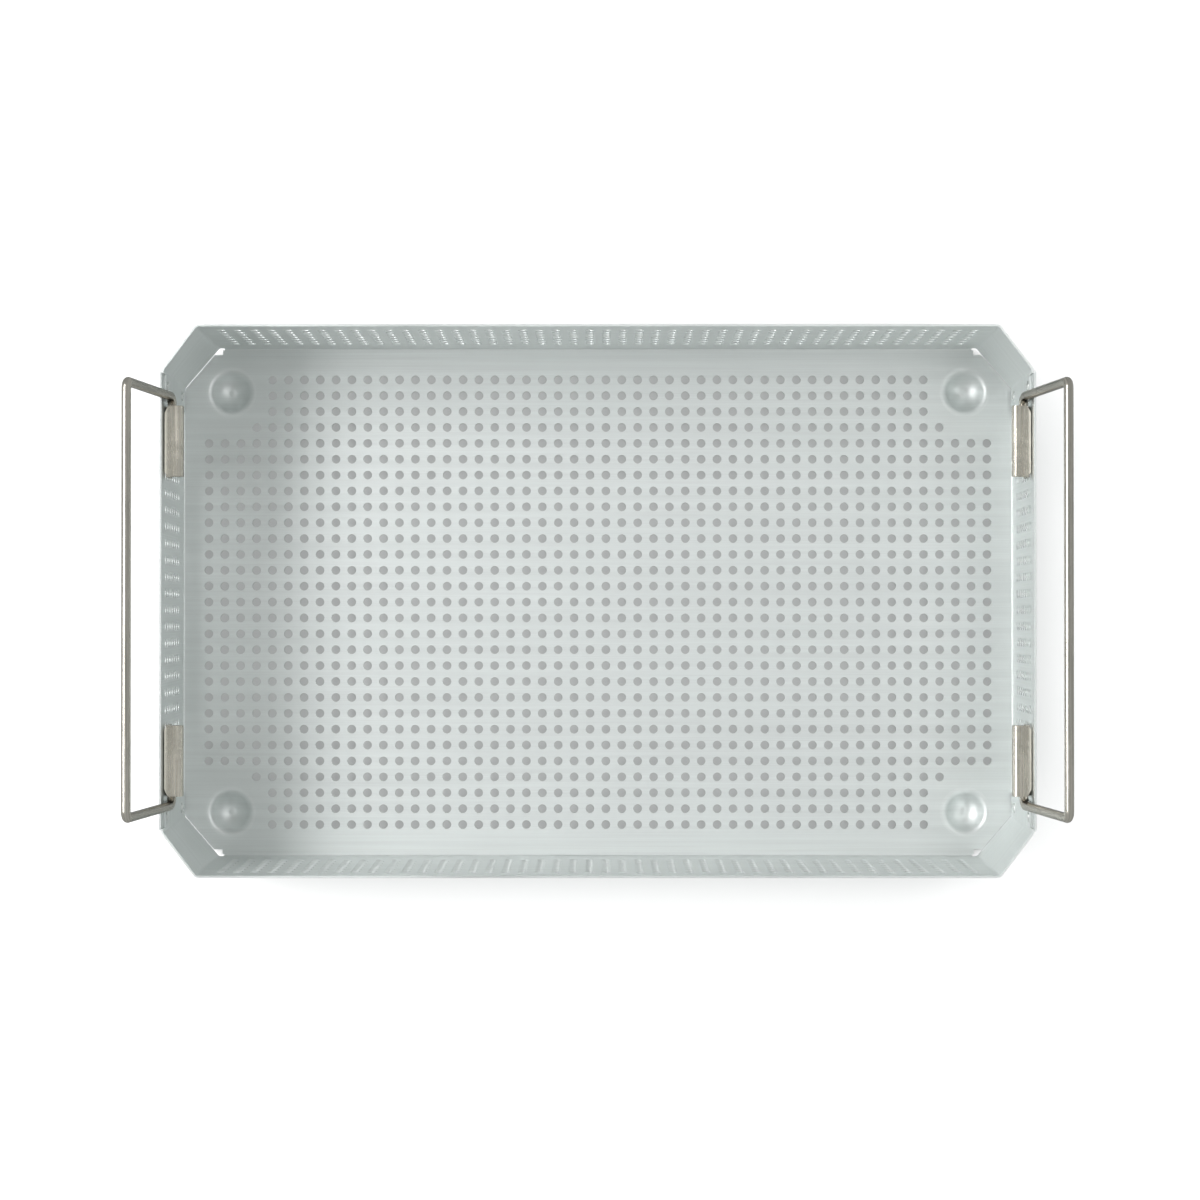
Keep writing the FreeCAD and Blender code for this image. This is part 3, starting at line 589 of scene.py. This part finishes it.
class Ribbon:
    """Sheet that runs between two plans, one at the floor and one at the rim."""

    def __init__(self, mirror_x, mirror_y):
        self.foot = corner_plan(0)
        self.rim = corner_plan(1)
        self.mirror = (mirror_x, mirror_y)
        self.flip = mirror_x * mirror_y < 0
        self.lengths = [0]
        for (_, here), (_, following) in zip(self.foot, self.foot[1:]):
            self.lengths.append(self.lengths[-1] + (following - here).length)
        self.points = []
        self.faces = []
        self.uvs = []
        self.normals = []

    def spot(self, station, height, depth, back):
        """Place of a point depth into the sheet from its inner face, and back mm before its station."""
        share = height / DEPTH
        inner = self.foot[station][0].lerp(self.rim[station][0], share)
        outer = self.foot[station][1].lerp(self.rim[station][1], share)
        place = inner.lerp(outer, depth / THICKNESS)
        if back:
            before = self.foot[station - 1][0].lerp(self.rim[station - 1][0], share)
            place += (before - inner).normalized() * back
        return Vector((place.x, place.y, FLOOR_TOP + height)), (inner - outer).normalized()

    def face(self, corners):
        """corners: (station, height, depth, back, kind of normal)."""
        if self.flip:
            corners = list(reversed(corners))
        numbers = []
        for station, height, depth, back, kind in corners:
            place, toward = self.spot(station, height, depth, back)
            normal = {
                "in": Vector((toward.x, toward.y, 0)),
                "out": Vector((-toward.x, -toward.y, 0)),
                "up": Vector((0, 0, 1)),
                "down": Vector((0, 0, -1)),
                "end": Vector((-toward.y, toward.x, 0)),
                "start": Vector((toward.y, -toward.x, 0)),
            }[kind]
            numbers.append(len(self.points))
            self.points.append((place.x * self.mirror[0], place.y * self.mirror[1], place.z))
            self.uvs.append((self.lengths[station] - back, height))
            self.normals.append(Vector((normal.x * self.mirror[0], normal.y * self.mirror[1], normal.z)))
        self.faces.append(numbers)

    def walls(self, stations, rows, end_back=0):
        """Inner and outer faces over a range of stations and heights."""
        for station, following in zip(stations, stations[1:]):
            back = end_back if following == stations[-1] else 0
            for low, high in zip(rows, rows[1:]):
                self.face([
                    (station, low, 0, 0, "in"), (following, low, 0, back, "in"),
                    (following, high, 0, back, "in"), (station, high, 0, 0, "in"),
                ])
                self.face([
                    (station, low, THICKNESS, 0, "out"), (following, low, THICKNESS, back, "out"),
                    (following, high, THICKNESS, back, "out"), (station, high, THICKNESS, 0, "out"),
                ][::-1])

    def level_edge(self, stations, height, up, end_back=0):
        """Rounded edge along the top (up = 1) or bottom (up = -1) of the stations."""
        kind = "up" if up > 0 else "down"
        steps = [
            (0, height - up * EDGE, "in"),
            (EDGE, height, kind),
            (THICKNESS - EDGE, height, kind),
            (THICKNESS, height - up * EDGE, "out"),
        ]
        for station, following in zip(stations, stations[1:]):
            back = end_back if following == stations[-1] else 0
            for (depth, z, kind_a), (next_depth, next_z, kind_b) in zip(steps, steps[1:]):
                corners = [
                    (station, z, depth, 0, kind_a),
                    (following, z, depth, back, kind_a),
                    (following, next_z, next_depth, back, kind_b),
                    (station, next_z, next_depth, 0, kind_b),
                ]
                self.face(corners if up > 0 else corners[::-1])

    def end_edge(self, station, rows):
        """Rounded upright edge at the last station."""
        steps = [
            (0, EDGE, "in"),
            (EDGE, 0, "end"),
            (THICKNESS - EDGE, 0, "end"),
            (THICKNESS, EDGE, "out"),
        ]
        for low, high in zip(rows, rows[1:]):
            for (depth, back, kind_a), (next_depth, next_back, kind_b) in zip(steps, steps[1:]):
                self.face([
                    (station, low, next_depth, next_back, kind_b),
                    (station, high, next_depth, next_back, kind_b),
                    (station, high, depth, back, kind_a),
                    (station, low, depth, back, kind_a),
                ])

    def square_end(self, station, low, high, kind):
        corners = [
            (station, low, 0, 0, kind), (station, high, 0, 0, kind),
            (station, high, THICKNESS, 0, kind), (station, low, THICKNESS, 0, kind),
        ]
        self.face(corners[::-1] if kind == "end" else corners)


def make_corner_panel(end, side):
    node = "corner_panel_%s_%s" % (end, side)
    ribbon = Ribbon(SIDES[side], ENDS[end])
    last = len(ribbon.foot) - 1
    panel = list(range(last))
    tab = [last - 1, last]
    ribbon.walls(panel, [0, TAB_BOTTOM, TAB_HEIGHT, DEPTH - EDGE])
    ribbon.level_edge(panel, DEPTH, 1)
    ribbon.square_end(0, 0, DEPTH - EDGE, "start")
    ribbon.square_end(last - 1, 0, TAB_BOTTOM, "end")
    ribbon.square_end(last - 1, TAB_HEIGHT, DEPTH - EDGE, "end")
    for station, following in zip(panel, panel[1:]):
        ribbon.face([
            (station, 0, 0, 0, "down"), (following, 0, 0, 0, "down"),
            (following, 0, THICKNESS, 0, "down"), (station, 0, THICKNESS, 0, "down"),
        ][::-1])
    ribbon.walls(tab, [TAB_BOTTOM + EDGE, TAB_HEIGHT - EDGE], EDGE)
    ribbon.level_edge(tab, TAB_HEIGHT, 1, EDGE)
    ribbon.level_edge(tab, TAB_BOTTOM, -1, EDGE)
    ribbon.end_edge(last, [TAB_BOTTOM + EDGE, TAB_HEIGHT - EDGE])
    piece = finish_mesh(node + "_sheet", ribbon.points, ribbon.faces, ribbon.uvs, ribbon.normals)
    return dress(piece, "tray", "tray_sheet", node)


# ---------------------------------------------------------------- turned pieces and tubes

def lathe(profile, sides, place):
    """Points and faces of a profile of (radius, height) turned round its axis.

    place turns (x, y, height) into a point in the tray's frame. The profile runs with the solid on
    its left as it is seen in the (radius, height) plane.
    """
    rings = []
    points = []
    for radius, height in profile:
        if radius == 0:
            rings.append([len(points)] * sides)
            points.append(place(0, 0, height))
            continue
        ring = []
        for angle in ring_angles(sides):
            ring.append(len(points))
            points.append(place(radius * math.cos(angle), radius * math.sin(angle), height))
        rings.append(ring)
    faces = []
    for low, high in zip(rings, rings[1:]):
        for i in range(sides):
            j = (i + 1) % sides
            face = [low[i], low[j], high[j], high[i]]
            faces.append(sorted(set(face), key=face.index))
    return points, faces


def plan_uvs(points, faces):
    """Grain coordinates straight down onto the floor."""
    return [(points[k][0], points[k][1]) for face in faces for k in face]


def arc_points(centre, radius, start, stop, steps):
    """Points (r, z) from one angle to another, in degrees from the +r axis."""
    angles = [math.radians(start + (stop - start) * i / steps) for i in range(steps + 1)]
    return [(centre[0] + radius * math.cos(a), centre[1] + radius * math.sin(a)) for a in angles]


def dish_profile(foot_drop, seat_radius):
    """Half section of a foot, from its top axis point out to the rim and back underneath."""
    depth = foot_drop + DISH_PAD_SAG
    reach = (DISH_START ** 2 + depth ** 2) / (2 * depth)
    bowl = reach - DISH_BLEND
    outer = bowl + THICKNESS
    centre = (0, bowl - depth)
    blend_centre = (DISH_START, -DISH_BLEND)
    lift = math.degrees(math.asin((reach - depth) / reach))
    nib_base = -math.degrees(math.acos(NIB_RADIUS / bowl))
    nib_top = NIB_HEIGHT - depth
    pad_angle = -math.degrees(math.asin((outer - DISH_PAD_SAG) / outer))
    top = [(NIB_RADIUS * share, nib_top - NIB_HEIGHT * drop) for share, drop in NIB_CROWN]
    top += arc_points(centre, bowl, nib_base, -lift, DISH_STEPS)
    top += arc_points(blend_centre, DISH_BLEND, 180 - lift, 90, DISH_BLEND_STEPS)[1:]
    top.append((seat_radius, 0))
    low = [(seat_radius, -THICKNESS)]
    low += arc_points(blend_centre, DISH_BLEND - THICKNESS, 90, 180 - lift, DISH_BLEND_STEPS)
    low += arc_points(centre, outer, -lift, pad_angle, DISH_STEPS)[1:]
    low.append((0, low[-1][1]))
    return top + low


def make_foot(end, side):
    node = "foot_dish_%s_%s" % (end, side)
    low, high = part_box(node)
    middle = (low + high) / 2 / MM
    profile = dish_profile(FLOOR_TOP - THICKNESS, (high.x - low.x) / 2 / MM)
    points, faces = lathe(
        list(reversed(profile)), DISH_SIDES,
        lambda x, y, z: (middle.x + x, middle.y + y, FLOOR_TOP + z),
    )
    piece = finish_mesh(node + "_pressing", points, faces, plan_uvs(points, faces), sharp_angle=40)
    return dress(piece, "tray", "tray_sheet", node, finish="pressed_foot")


def skin(rings, sides):
    """Faces over a row of rings of points, and over its two ends."""
    faces = []
    for ring in range(rings - 1):
        here, after = ring * sides, (ring + 1) * sides
        for i in range(sides):
            j = (i + 1) % sides
            faces.append([here + i, here + j, after + j, after + i])
    faces.append([sides - 1 - i for i in range(sides)])
    faces.append([(rings - 1) * sides + i for i in range(sides)])
    return faces


def tube(stations, side, radius, sides, end_edge):
    """Round wire through stations (place, unit direction); side is the normal of its plane."""
    spots = [stations[0]] + stations + [stations[-1]]
    last = len(spots) - 1
    points = []
    lengths = []
    run = 0
    before = spots[0][0]
    for number, (place, forward) in enumerate(spots):
        size = radius - end_edge if number in (0, last) else radius
        if number == 1:
            place = place + forward * end_edge
        if number == last - 1:
            place = place - forward * end_edge
        run += (place - before).length
        lengths.append(run)
        before = place
        across = forward.cross(side)
        for i in range(sides):
            angle = 2 * math.pi * i / sides
            points.append(place + (side * math.cos(angle) + across * math.sin(angle)) * size)
    arc = 2 * math.pi * radius / sides
    uvs = []
    for start, stop in zip(lengths, lengths[1:]):
        for i in range(sides):
            low, high = arc * i, arc * (i + 1)
            uvs += [(start, low), (start, high), (stop, high), (stop, low)]
    uvs += [(0, 0)] * (2 * sides)
    return points, skin(len(spots), sides), uvs


def handle_frame(side):
    """Pivot, the direction out from the tray along the pivot's plane, and the way up the legs."""
    lean = math.radians(HANDLE_LEAN) * SIDES[side]
    pivot = Vector((SIDES[side] * PIVOT_X, 0, PIVOT_Z))
    up = Vector((math.sin(lean), 0, math.cos(lean)))
    normal = Vector((math.cos(lean), 0, -math.sin(lean)))
    return pivot, normal, up


def bent_path(corners, steps):
    """Stations (spot, direction) along corners (a, b, radius) whose bends are all right angles."""
    spots = [Vector(corner[:2]) for corner in corners]
    first_way = (spots[1] - spots[0]).normalized()
    stations = [(spots[0], first_way)]
    for before, spot, after, corner in zip(spots, spots[1:], spots[2:], corners[1:]):
        into = (spot - before).normalized()
        out = (after - spot).normalized()
        radius = corner[2]
        centre = spot + (out - into) * radius
        for step in range(steps + 1):
            angle = math.pi / 2 * step / steps
            across = out * math.cos(angle) - into * math.sin(angle)
            stations.append((centre - across * radius, into * math.cos(angle) + out * math.sin(angle)))
    stations.append((spots[-1], (spots[-1] - spots[-2]).normalized()))
    return stations


def make_handle(side):
    pivot, normal, up = handle_frame(side)
    half = LEG_SPACING / 2
    corners = [
        (-STUB_END, 0, 0),
        (-half, 0, STUB_BEND),
        (-half, LEG_LENGTH, GRIP_BEND),
        (half, LEG_LENGTH, GRIP_BEND),
        (half, 0, STUB_BEND),
        (STUB_END, 0, 0),
    ]

    def lift(flat):
        return Vector((0, flat.x, 0)) + up * flat.y

    stations = [(pivot + lift(spot), lift(way)) for spot, way in bent_path(corners, WIRE_BEND_STEPS)]
    points, faces, uvs = tube(stations, normal, WIRE_RADIUS, WIRE_SIDES, WIRE_END_EDGE)
    piece = finish_mesh(side + "_handle_wire", points, faces, uvs, sharp_angle=35)
    return dress(piece, side + "_handle", "handle_wire", side + "_handle")


# ---------------------------------------------------------------- brackets and rivets

class WallFrame:
    """Local axes on an end wall's inner face: x out through the wall, z up it, from its foot."""

    def __init__(self, side):
        lean = math.radians(END_WALL_TURN - 90)
        sign = SIDES[side]
        self.x = Vector((sign * math.cos(lean), 0, math.sin(lean)))
        self.z = Vector((-sign * math.sin(lean), 0, math.cos(lean)))
        self.y = self.z.cross(self.x)
        bend = Vector((sign * FLOOR_EDGE_X, 0, FLOOR_TOP + BEND_RADIUS))
        self.foot = bend + self.x * BEND_RADIUS - self.z * BEND_RADIUS
        self.pivot_height = (Vector((sign * PIVOT_X, 0, PIVOT_Z)) - self.foot).dot(self.z)

    def place(self, x, y, z, along=0, height=0):
        """Local (x, y, z) from the spot on the wall at this place along the tray and this height."""
        return self.foot + Vector((0, along, 0)) + self.x * x + self.y * y + self.z * (z + height)


def strip_section(low, high, thickness, edge):
    """Outline (y, n) of a flat strip with its corners cut by edge, anticlockwise."""
    half = thickness / 2
    return [
        (high, edge - half), (high, half - edge), (high - edge, half), (low + edge, half),
        (low, half - edge), (low, edge - half), (low + edge, -half), (high - edge, -half),
    ]


def bracket_rows():
    """Sections of the folded strip, from the foot of its plate to its free edge.

    Each is (spot, direction, half length towards the handle's leg, the other half, edge, thickness).
    """
    level = WIRE_RADIUS + BRACKET_SLACK + STRIP / 2
    front = STRIP / 2 - BRACKET_DEPTH
    corners = [
        (-STRIP / 2, -BRACKET_PLATE, 0),
        (-STRIP / 2, -level, STRIP_BEND),
        (front, -level, STRIP_BEND),
        (front, level, STRIP_BEND),
        (-BRACKET_EDGE_GAP, level, 0),
    ]
    stations = bent_path(corners, STRIP_BEND_STEPS)
    final, way = stations.pop()
    half = BRACKET_LENGTH / 2
    cut = STRIP - 2 * STRIP_EDGE
    rows = [(spot, heading, half, half, STRIP_EDGE, STRIP) for spot, heading in stations]
    first, heading = stations[0]
    rows[0] = (first + heading * STRIP_EDGE, heading, half, half, STRIP_EDGE, STRIP)
    rows.insert(0, (first, heading, half - STRIP_EDGE, half - STRIP_EDGE, STRIP_CUT_EDGE, cut))
    rows.append((final - way * BRACKET_CORNER, way, half, half, STRIP_EDGE, STRIP))
    tip = (half - BRACKET_LEG_CORNER, half - BRACKET_CORNER)
    share = STRIP_EDGE / BRACKET_CORNER
    near_tip = [width + (half - width) * share for width in tip]
    rows.append((final - way * STRIP_EDGE, way, *near_tip, STRIP_EDGE, STRIP))
    rows.append((final, way, *tip, STRIP_CUT_EDGE, cut))
    return rows


def make_bracket(end, side):
    node = "handle_bracket_%s_%s" % (end, side)
    wall = WallFrame(side)
    along = ENDS[end] * BRACKET_MIDDLE
    leg_sign = ENDS[end] * SIDES[side]
    rows = bracket_rows()
    points = []
    runs = []
    run = 0
    before = rows[0][0]
    for spot, heading, leg_half, far_half, edge, thickness in rows:
        run += (spot - before).length
        before = spot
        runs.append(run)
        low, high = (-far_half, leg_half) if leg_sign > 0 else (-leg_half, far_half)
        left = Vector((-heading.y, heading.x))
        for y, n in strip_section(low, high, thickness, edge):
            flat = spot + left * n
            points.append(wall.place(flat.x, y, flat.y, along, wall.pivot_height))
    sides = len(points) // len(rows)
    faces = skin(len(rows), sides)
    uvs = [(points[k].y, runs[k // sides]) for face in faces for k in face]
    piece = finish_mesh(node + "_strip", points, faces, uvs)
    even_faces(piece)
    return dress(piece, "tray", "bracket_strip", node)


def even_faces(piece):
    """Keep large faces flat and let the small ones round the edges."""
    modifier = piece.modifiers.new("even faces", "WEIGHTED_NORMAL")
    modifier.keep_sharp = True
    modifier.weight = 100


def rivet_profile(plate):
    """Half section (radius, distance out through the wall) from the head's top to the tail."""
    profile = [(RIVET_HEAD * r, -plate - RIVET_HEAD_HEIGHT * h) for r, h in RIVET_HEAD_OUTLINE]
    profile += [(RIVET_SHANK, -plate), (RIVET_SHANK, THICKNESS)]
    profile += [(RIVET_TAIL * r, THICKNESS + RIVET_TAIL_HEIGHT * h) for r, h in RIVET_TAIL_OUTLINE]
    return profile


def make_rivets(node, side, plate, spots):
    wall = WallFrame(side)
    points = []
    faces = []
    for along, height in spots:
        more, more_faces = lathe(
            rivet_profile(plate), RIVET_SIDES,
            lambda y, z, x: wall.place(x, y, z, along, height),
        )
        faces += [[number + len(points) for number in face] for face in more_faces]
        points += more
    uvs = [(points[k].y, points[k].z) for face in faces for k in face]
    piece = finish_mesh(node + "_pair", points, faces, uvs, sharp_angle=50)
    return dress(piece, "tray", "rivets", node)


def make_all_rivets():
    for end, side in CORNERS:
        wall = WallFrame(side)
        height = wall.pivot_height - BRACKET_RIVET_DROP
        steps = [step * BRACKET_RIVET_SPACING / 2 for step in (-1, 1)]
        spots = [(ENDS[end] * BRACKET_MIDDLE + step, height) for step in steps]
        make_rivets("bracket_rivets_%s_%s" % (end, side), side, STRIP, spots)
        spots = [(ENDS[end] * CORNER_RIVET_Y, height) for height in CORNER_RIVET_HEIGHTS]
        make_rivets("corner_rivets_%s_%s" % (end, side), side, THICKNESS, spots)


# ---------------------------------------------------------------- finishes

NOISE_RANGE = (0.3, 0.7)


class Finish:
    """A metal whose grain runs along u of the grain map; (u, v) are in metres."""

    def __init__(self, name, colour, roughness, anisotropy, edge=1.0):
        """edge darkens what the metal reflects at a grazing angle."""
        self.material = bpy.data.materials.new(name)
        self.material.use_nodes = True
        self.tree = self.material.node_tree
        self.shader = self.tree.nodes["Principled BSDF"]
        self.shader.inputs["Metallic"].default_value = 1.0
        self.shader.inputs["Anisotropic"].default_value = anisotropy
        self.shader.inputs["Anisotropic Rotation"].default_value = 0.25
        self.shader.inputs["Specular Tint"].default_value = (edge, edge, edge, 1)
        self.colour = colour
        self.roughness = roughness
        self.grain = self.node("ShaderNodeUVMap", uv_map="grain").outputs[0]
        tangent = self.node("ShaderNodeTangent", direction_type="UV_MAP", uv_map="grain")
        self.link(tangent.outputs[0], self.shader.inputs["Tangent"])

    def node(self, kind, **settings):
        made = self.tree.nodes.new(kind)
        for key, value in settings.items():
            setattr(made, key, value)
        return made

    def link(self, output, socket):
        self.tree.links.new(output, socket)

    def noise(self, along, across, detail, distortion=0.0):
        """Noise with this many features to the metre along and across the grain."""
        mapping = self.node("ShaderNodeMapping")
        mapping.inputs["Scale"].default_value = (along, across, 1)
        self.link(self.grain, mapping.inputs["Vector"])
        noise = self.node("ShaderNodeTexNoise", noise_dimensions="2D")
        noise.inputs["Scale"].default_value = 1.0
        noise.inputs["Detail"].default_value = detail
        noise.inputs["Distortion"].default_value = distortion
        self.link(mapping.outputs[0], noise.inputs["Vector"])
        return noise.outputs["Fac"]

    def spread(self, output, low, high):
        """A noise, most of which lies in NOISE_RANGE, scaled to run from low to high."""
        scale = self.node("ShaderNodeMapRange")
        scale.inputs["From Min"].default_value = NOISE_RANGE[0]
        scale.inputs["From Max"].default_value = NOISE_RANGE[1]
        scale.inputs["To Min"].default_value = low
        scale.inputs["To Max"].default_value = high
        self.link(output, scale.inputs["Value"])
        return scale.outputs[0]

    def times(self, a, b):
        maths = self.node("ShaderNodeMath", operation="MULTIPLY")
        self.link(a, maths.inputs[0])
        self.link(b, maths.inputs[1])
        return maths.outputs[0]

    def tint(self, factor):
        """Base colour times a factor that varies over the surface."""
        mix = self.node("ShaderNodeMix", data_type="RGBA", blend_type="MULTIPLY")
        mix.inputs["Factor"].default_value = 1.0
        mix.inputs[6].default_value = (*self.colour, 1)
        grey = self.node("ShaderNodeCombineColor")
        for channel in ("Red", "Green", "Blue"):
            self.link(factor, grey.inputs[channel])
        self.link(grey.outputs[0], mix.inputs[7])
        self.link(mix.outputs[2], self.shader.inputs["Base Color"])

    def rough(self, factor):
        """Roughness times a factor that varies over the surface."""
        base = self.node("ShaderNodeMath", operation="MULTIPLY")
        base.inputs[1].default_value = self.roughness
        self.link(factor, base.inputs[0])
        self.link(base.outputs[0], self.shader.inputs["Roughness"])

    def relief(self, height, distance):
        """Bumps of up to distance metres."""
        bump = self.node("ShaderNodeBump")
        bump.inputs["Strength"].default_value = 1.0
        bump.inputs["Distance"].default_value = distance
        self.link(height, bump.inputs["Height"])
        self.link(bump.outputs[0], self.shader.inputs["Normal"])


def anodised_sheet(name, roughness):
    finish = Finish(name, (0.82, 0.845, 0.838), roughness, anisotropy=0.15)
    fine = finish.noise(14, 1700, 3.0)
    coarse = finish.noise(3.5, 260, 2.0)
    cloud = finish.noise(14, 22, 3.0, 0.6)
    grain = finish.times(finish.spread(fine, 0.96, 1.04), finish.spread(coarse, 0.98, 1.02))
    finish.tint(finish.times(grain, finish.spread(cloud, 0.985, 1.01)))
    finish.rough(finish.times(finish.spread(fine, 0.85, 1.15), finish.spread(cloud, 0.92, 1.1)))
    finish.relief(fine, 0.000006)
    return finish.material


def bracket_steel():
    colour = (0.82, 0.77, 0.68)
    finish = Finish("brushed_steel_strip", colour, roughness=0.25, anisotropy=0.3, edge=0.5)
    fine = finish.noise(30, 2400, 3.0)
    cloud = finish.noise(60, 90, 3.0, 0.5)
    finish.tint(finish.times(finish.spread(fine, 0.9, 1.06), finish.spread(cloud, 0.9, 1.05)))
    finish.rough(finish.times(finish.spread(fine, 0.8, 1.2), finish.spread(cloud, 0.85, 1.15)))
    finish.relief(fine, 0.000008)
    return finish.material


def handle_steel():
    colour = (0.68, 0.64, 0.575)
    finish = Finish("drawn_steel_wire", colour, roughness=0.25, anisotropy=0.3, edge=0.7)
    fine = finish.noise(20, 3000, 3.0)
    streak = finish.noise(5, 900, 2.0)
    cloud = finish.noise(30, 160, 3.0, 0.5)
    # lengthwise streaks in the colour: the wire's drawn lines, plus painted reflection lines that stand
    # in for the bright and dark streaks it mirrors
    drawn_streaks_and_painted_reflection = finish.times(finish.spread(streak, 0.72, 1.12), finish.spread(cloud, 0.92, 1.04))
    finish.tint(finish.times(drawn_streaks_and_painted_reflection, finish.spread(fine, 0.92, 1.05)))
    finish.rough(finish.times(finish.spread(fine, 0.8, 1.2), finish.spread(cloud, 0.8, 1.2)))
    finish.relief(streak, 0.00002)
    return finish.material


def rivet_aluminium():
    finish = Finish("rivet_aluminium", (0.8, 0.81, 0.8), roughness=0.28, anisotropy=0.0)
    cloud = finish.noise(400, 400, 3.0)
    finish.tint(finish.spread(cloud, 0.93, 1.03))
    finish.rough(finish.spread(cloud, 0.8, 1.25))
    finish.relief(cloud, 0.00001)
    return finish.material


finishes = {
    "tray_sheet": anodised_sheet("anodised_aluminium_sheet", 0.5),
    "floor": anodised_sheet("anodised_aluminium_floor", 0.64),
    "pressed_foot": anodised_sheet("anodised_aluminium_pressing", 0.53),
    "bracket_strip": bracket_steel(),
    "handle_wire": handle_steel(),
    "rivets": rivet_aluminium(),
}

make_floor()
for wall, outward in (("back_wall", (0, 1, 0)), ("front_wall", (0, -1, 0))):
    make_wall(wall, outward, long_wall=True)
for wall, outward in (("left_end_wall", (-1, 0, 0)), ("right_end_wall", (1, 0, 0))):
    make_wall(wall, outward, long_wall=False)
for end, side in CORNERS:
    make_corner_panel(end, side)
    make_foot(end, side)
    make_bracket(end, side)
make_all_rivets()
for side in SIDES:
    make_handle(side)


# ---------------------------------------------------------------- floor, light and camera

TABLE_WIDTH = 12.0                 # in metres, as the lights' places are

CAMERA_PLACE = (1.96, -8.84, 1223.5)
CAMERA_TARGET = (1.0, 1.0, FLOOR_TOP)
FOCAL_LENGTH = 74.28
SENSOR_WIDTH = 36.0


def make_table():
    """Plain pale floor that the tray stands on."""
    half = TABLE_WIDTH / 2
    corners = [(-half, -half, 0), (half, -half, 0), (half, half, 0), (-half, half, 0)]
    mesh = bpy.data.meshes.new("table_top")
    mesh.from_pydata(corners, [], [(0, 1, 2, 3)])
    table = bpy.data.objects.new("table_top", mesh)
    bpy.context.collection.objects.link(table)
    pale = bpy.data.materials.new("pale_table")
    pale.use_nodes = True
    shader = pale.node_tree.nodes["Principled BSDF"]
    shader.inputs["Base Color"].default_value = (0.6, 0.6, 0.6, 1)
    shader.inputs["Roughness"].default_value = 0.8
    shader.inputs["Specular IOR Level"].default_value = 0.0
    mesh.materials.append(pale)
    # the table is lit far brighter than the tray, so its glare is kept out of the metal
    table.visible_glossy = False


def add_softbox(name, centre, target, size, radiance, seen_in_metal=True):
    """Area light of a given brightness, aimed at a target."""
    width, depth = size
    light = bpy.data.lights.new(name, "AREA")
    light.shape = "RECTANGLE"
    light.size = width
    light.size_y = depth
    light.energy = radiance * math.pi * width * depth
    lamp = bpy.data.objects.new(name, light)
    lamp.location = centre
    lamp.rotation_euler = (Vector(target) - Vector(centre)).to_track_quat("-Z", "Y").to_euler()
    lamp.visible_camera = False
    lamp.visible_glossy = seen_in_metal
    bpy.context.collection.objects.link(lamp)
    return lamp


def light_scene():
    world = bpy.data.worlds.new("studio")
    world.use_nodes = True
    background = world.node_tree.nodes["Background"]
    background.inputs["Color"].default_value = (0.96, 1.0, 0.99, 1)
    background.inputs["Strength"].default_value = 0.44
    bpy.context.scene.world = world
    add_softbox("key_softbox", (-0.955, 0.26, 1.01), (-0.139, 0, 0), (1.2, 0.44), radiance=7.3)
    right = add_softbox("right_softbox", (0.55, 0.1, 1.3), (0.15, 0, 0), (0.8, 0.6), radiance=1.7)
    # it would blow out the right brackets, so it lights only the tray's own sheet
    receivers = bpy.data.collections.new("lit_by_right_softbox")
    for piece in bpy.context.scene.objects:
        if piece.name.endswith(("_sheet", "_pressing")):
            receivers.objects.link(piece)
    right.light_linking.receiver_collection = receivers
    add_softbox("fill_softbox", (0, 0, 2.5), (0, 0, 0), (5, 5), radiance=2.9, seen_in_metal=False)


def add_camera():
    lens = bpy.data.cameras.new("camera")
    lens.lens = FOCAL_LENGTH
    lens.sensor_width = SENSOR_WIDTH
    camera = bpy.data.objects.new("camera", lens)
    place = Vector(CAMERA_PLACE) * MM
    target = Vector(CAMERA_TARGET) * MM
    back = (place - target).normalized()
    up = Vector((0, 1, 0))
    right = up.cross(back).normalized()
    turn = Matrix((right, back.cross(right), back)).transposed()
    camera.matrix_world = Matrix.Translation(place) @ turn.to_4x4()
    bpy.context.collection.objects.link(camera)
    bpy.context.scene.camera = camera


make_table()
light_scene()
add_camera()
bpy.context.scene.view_settings.view_transform = "Standard"
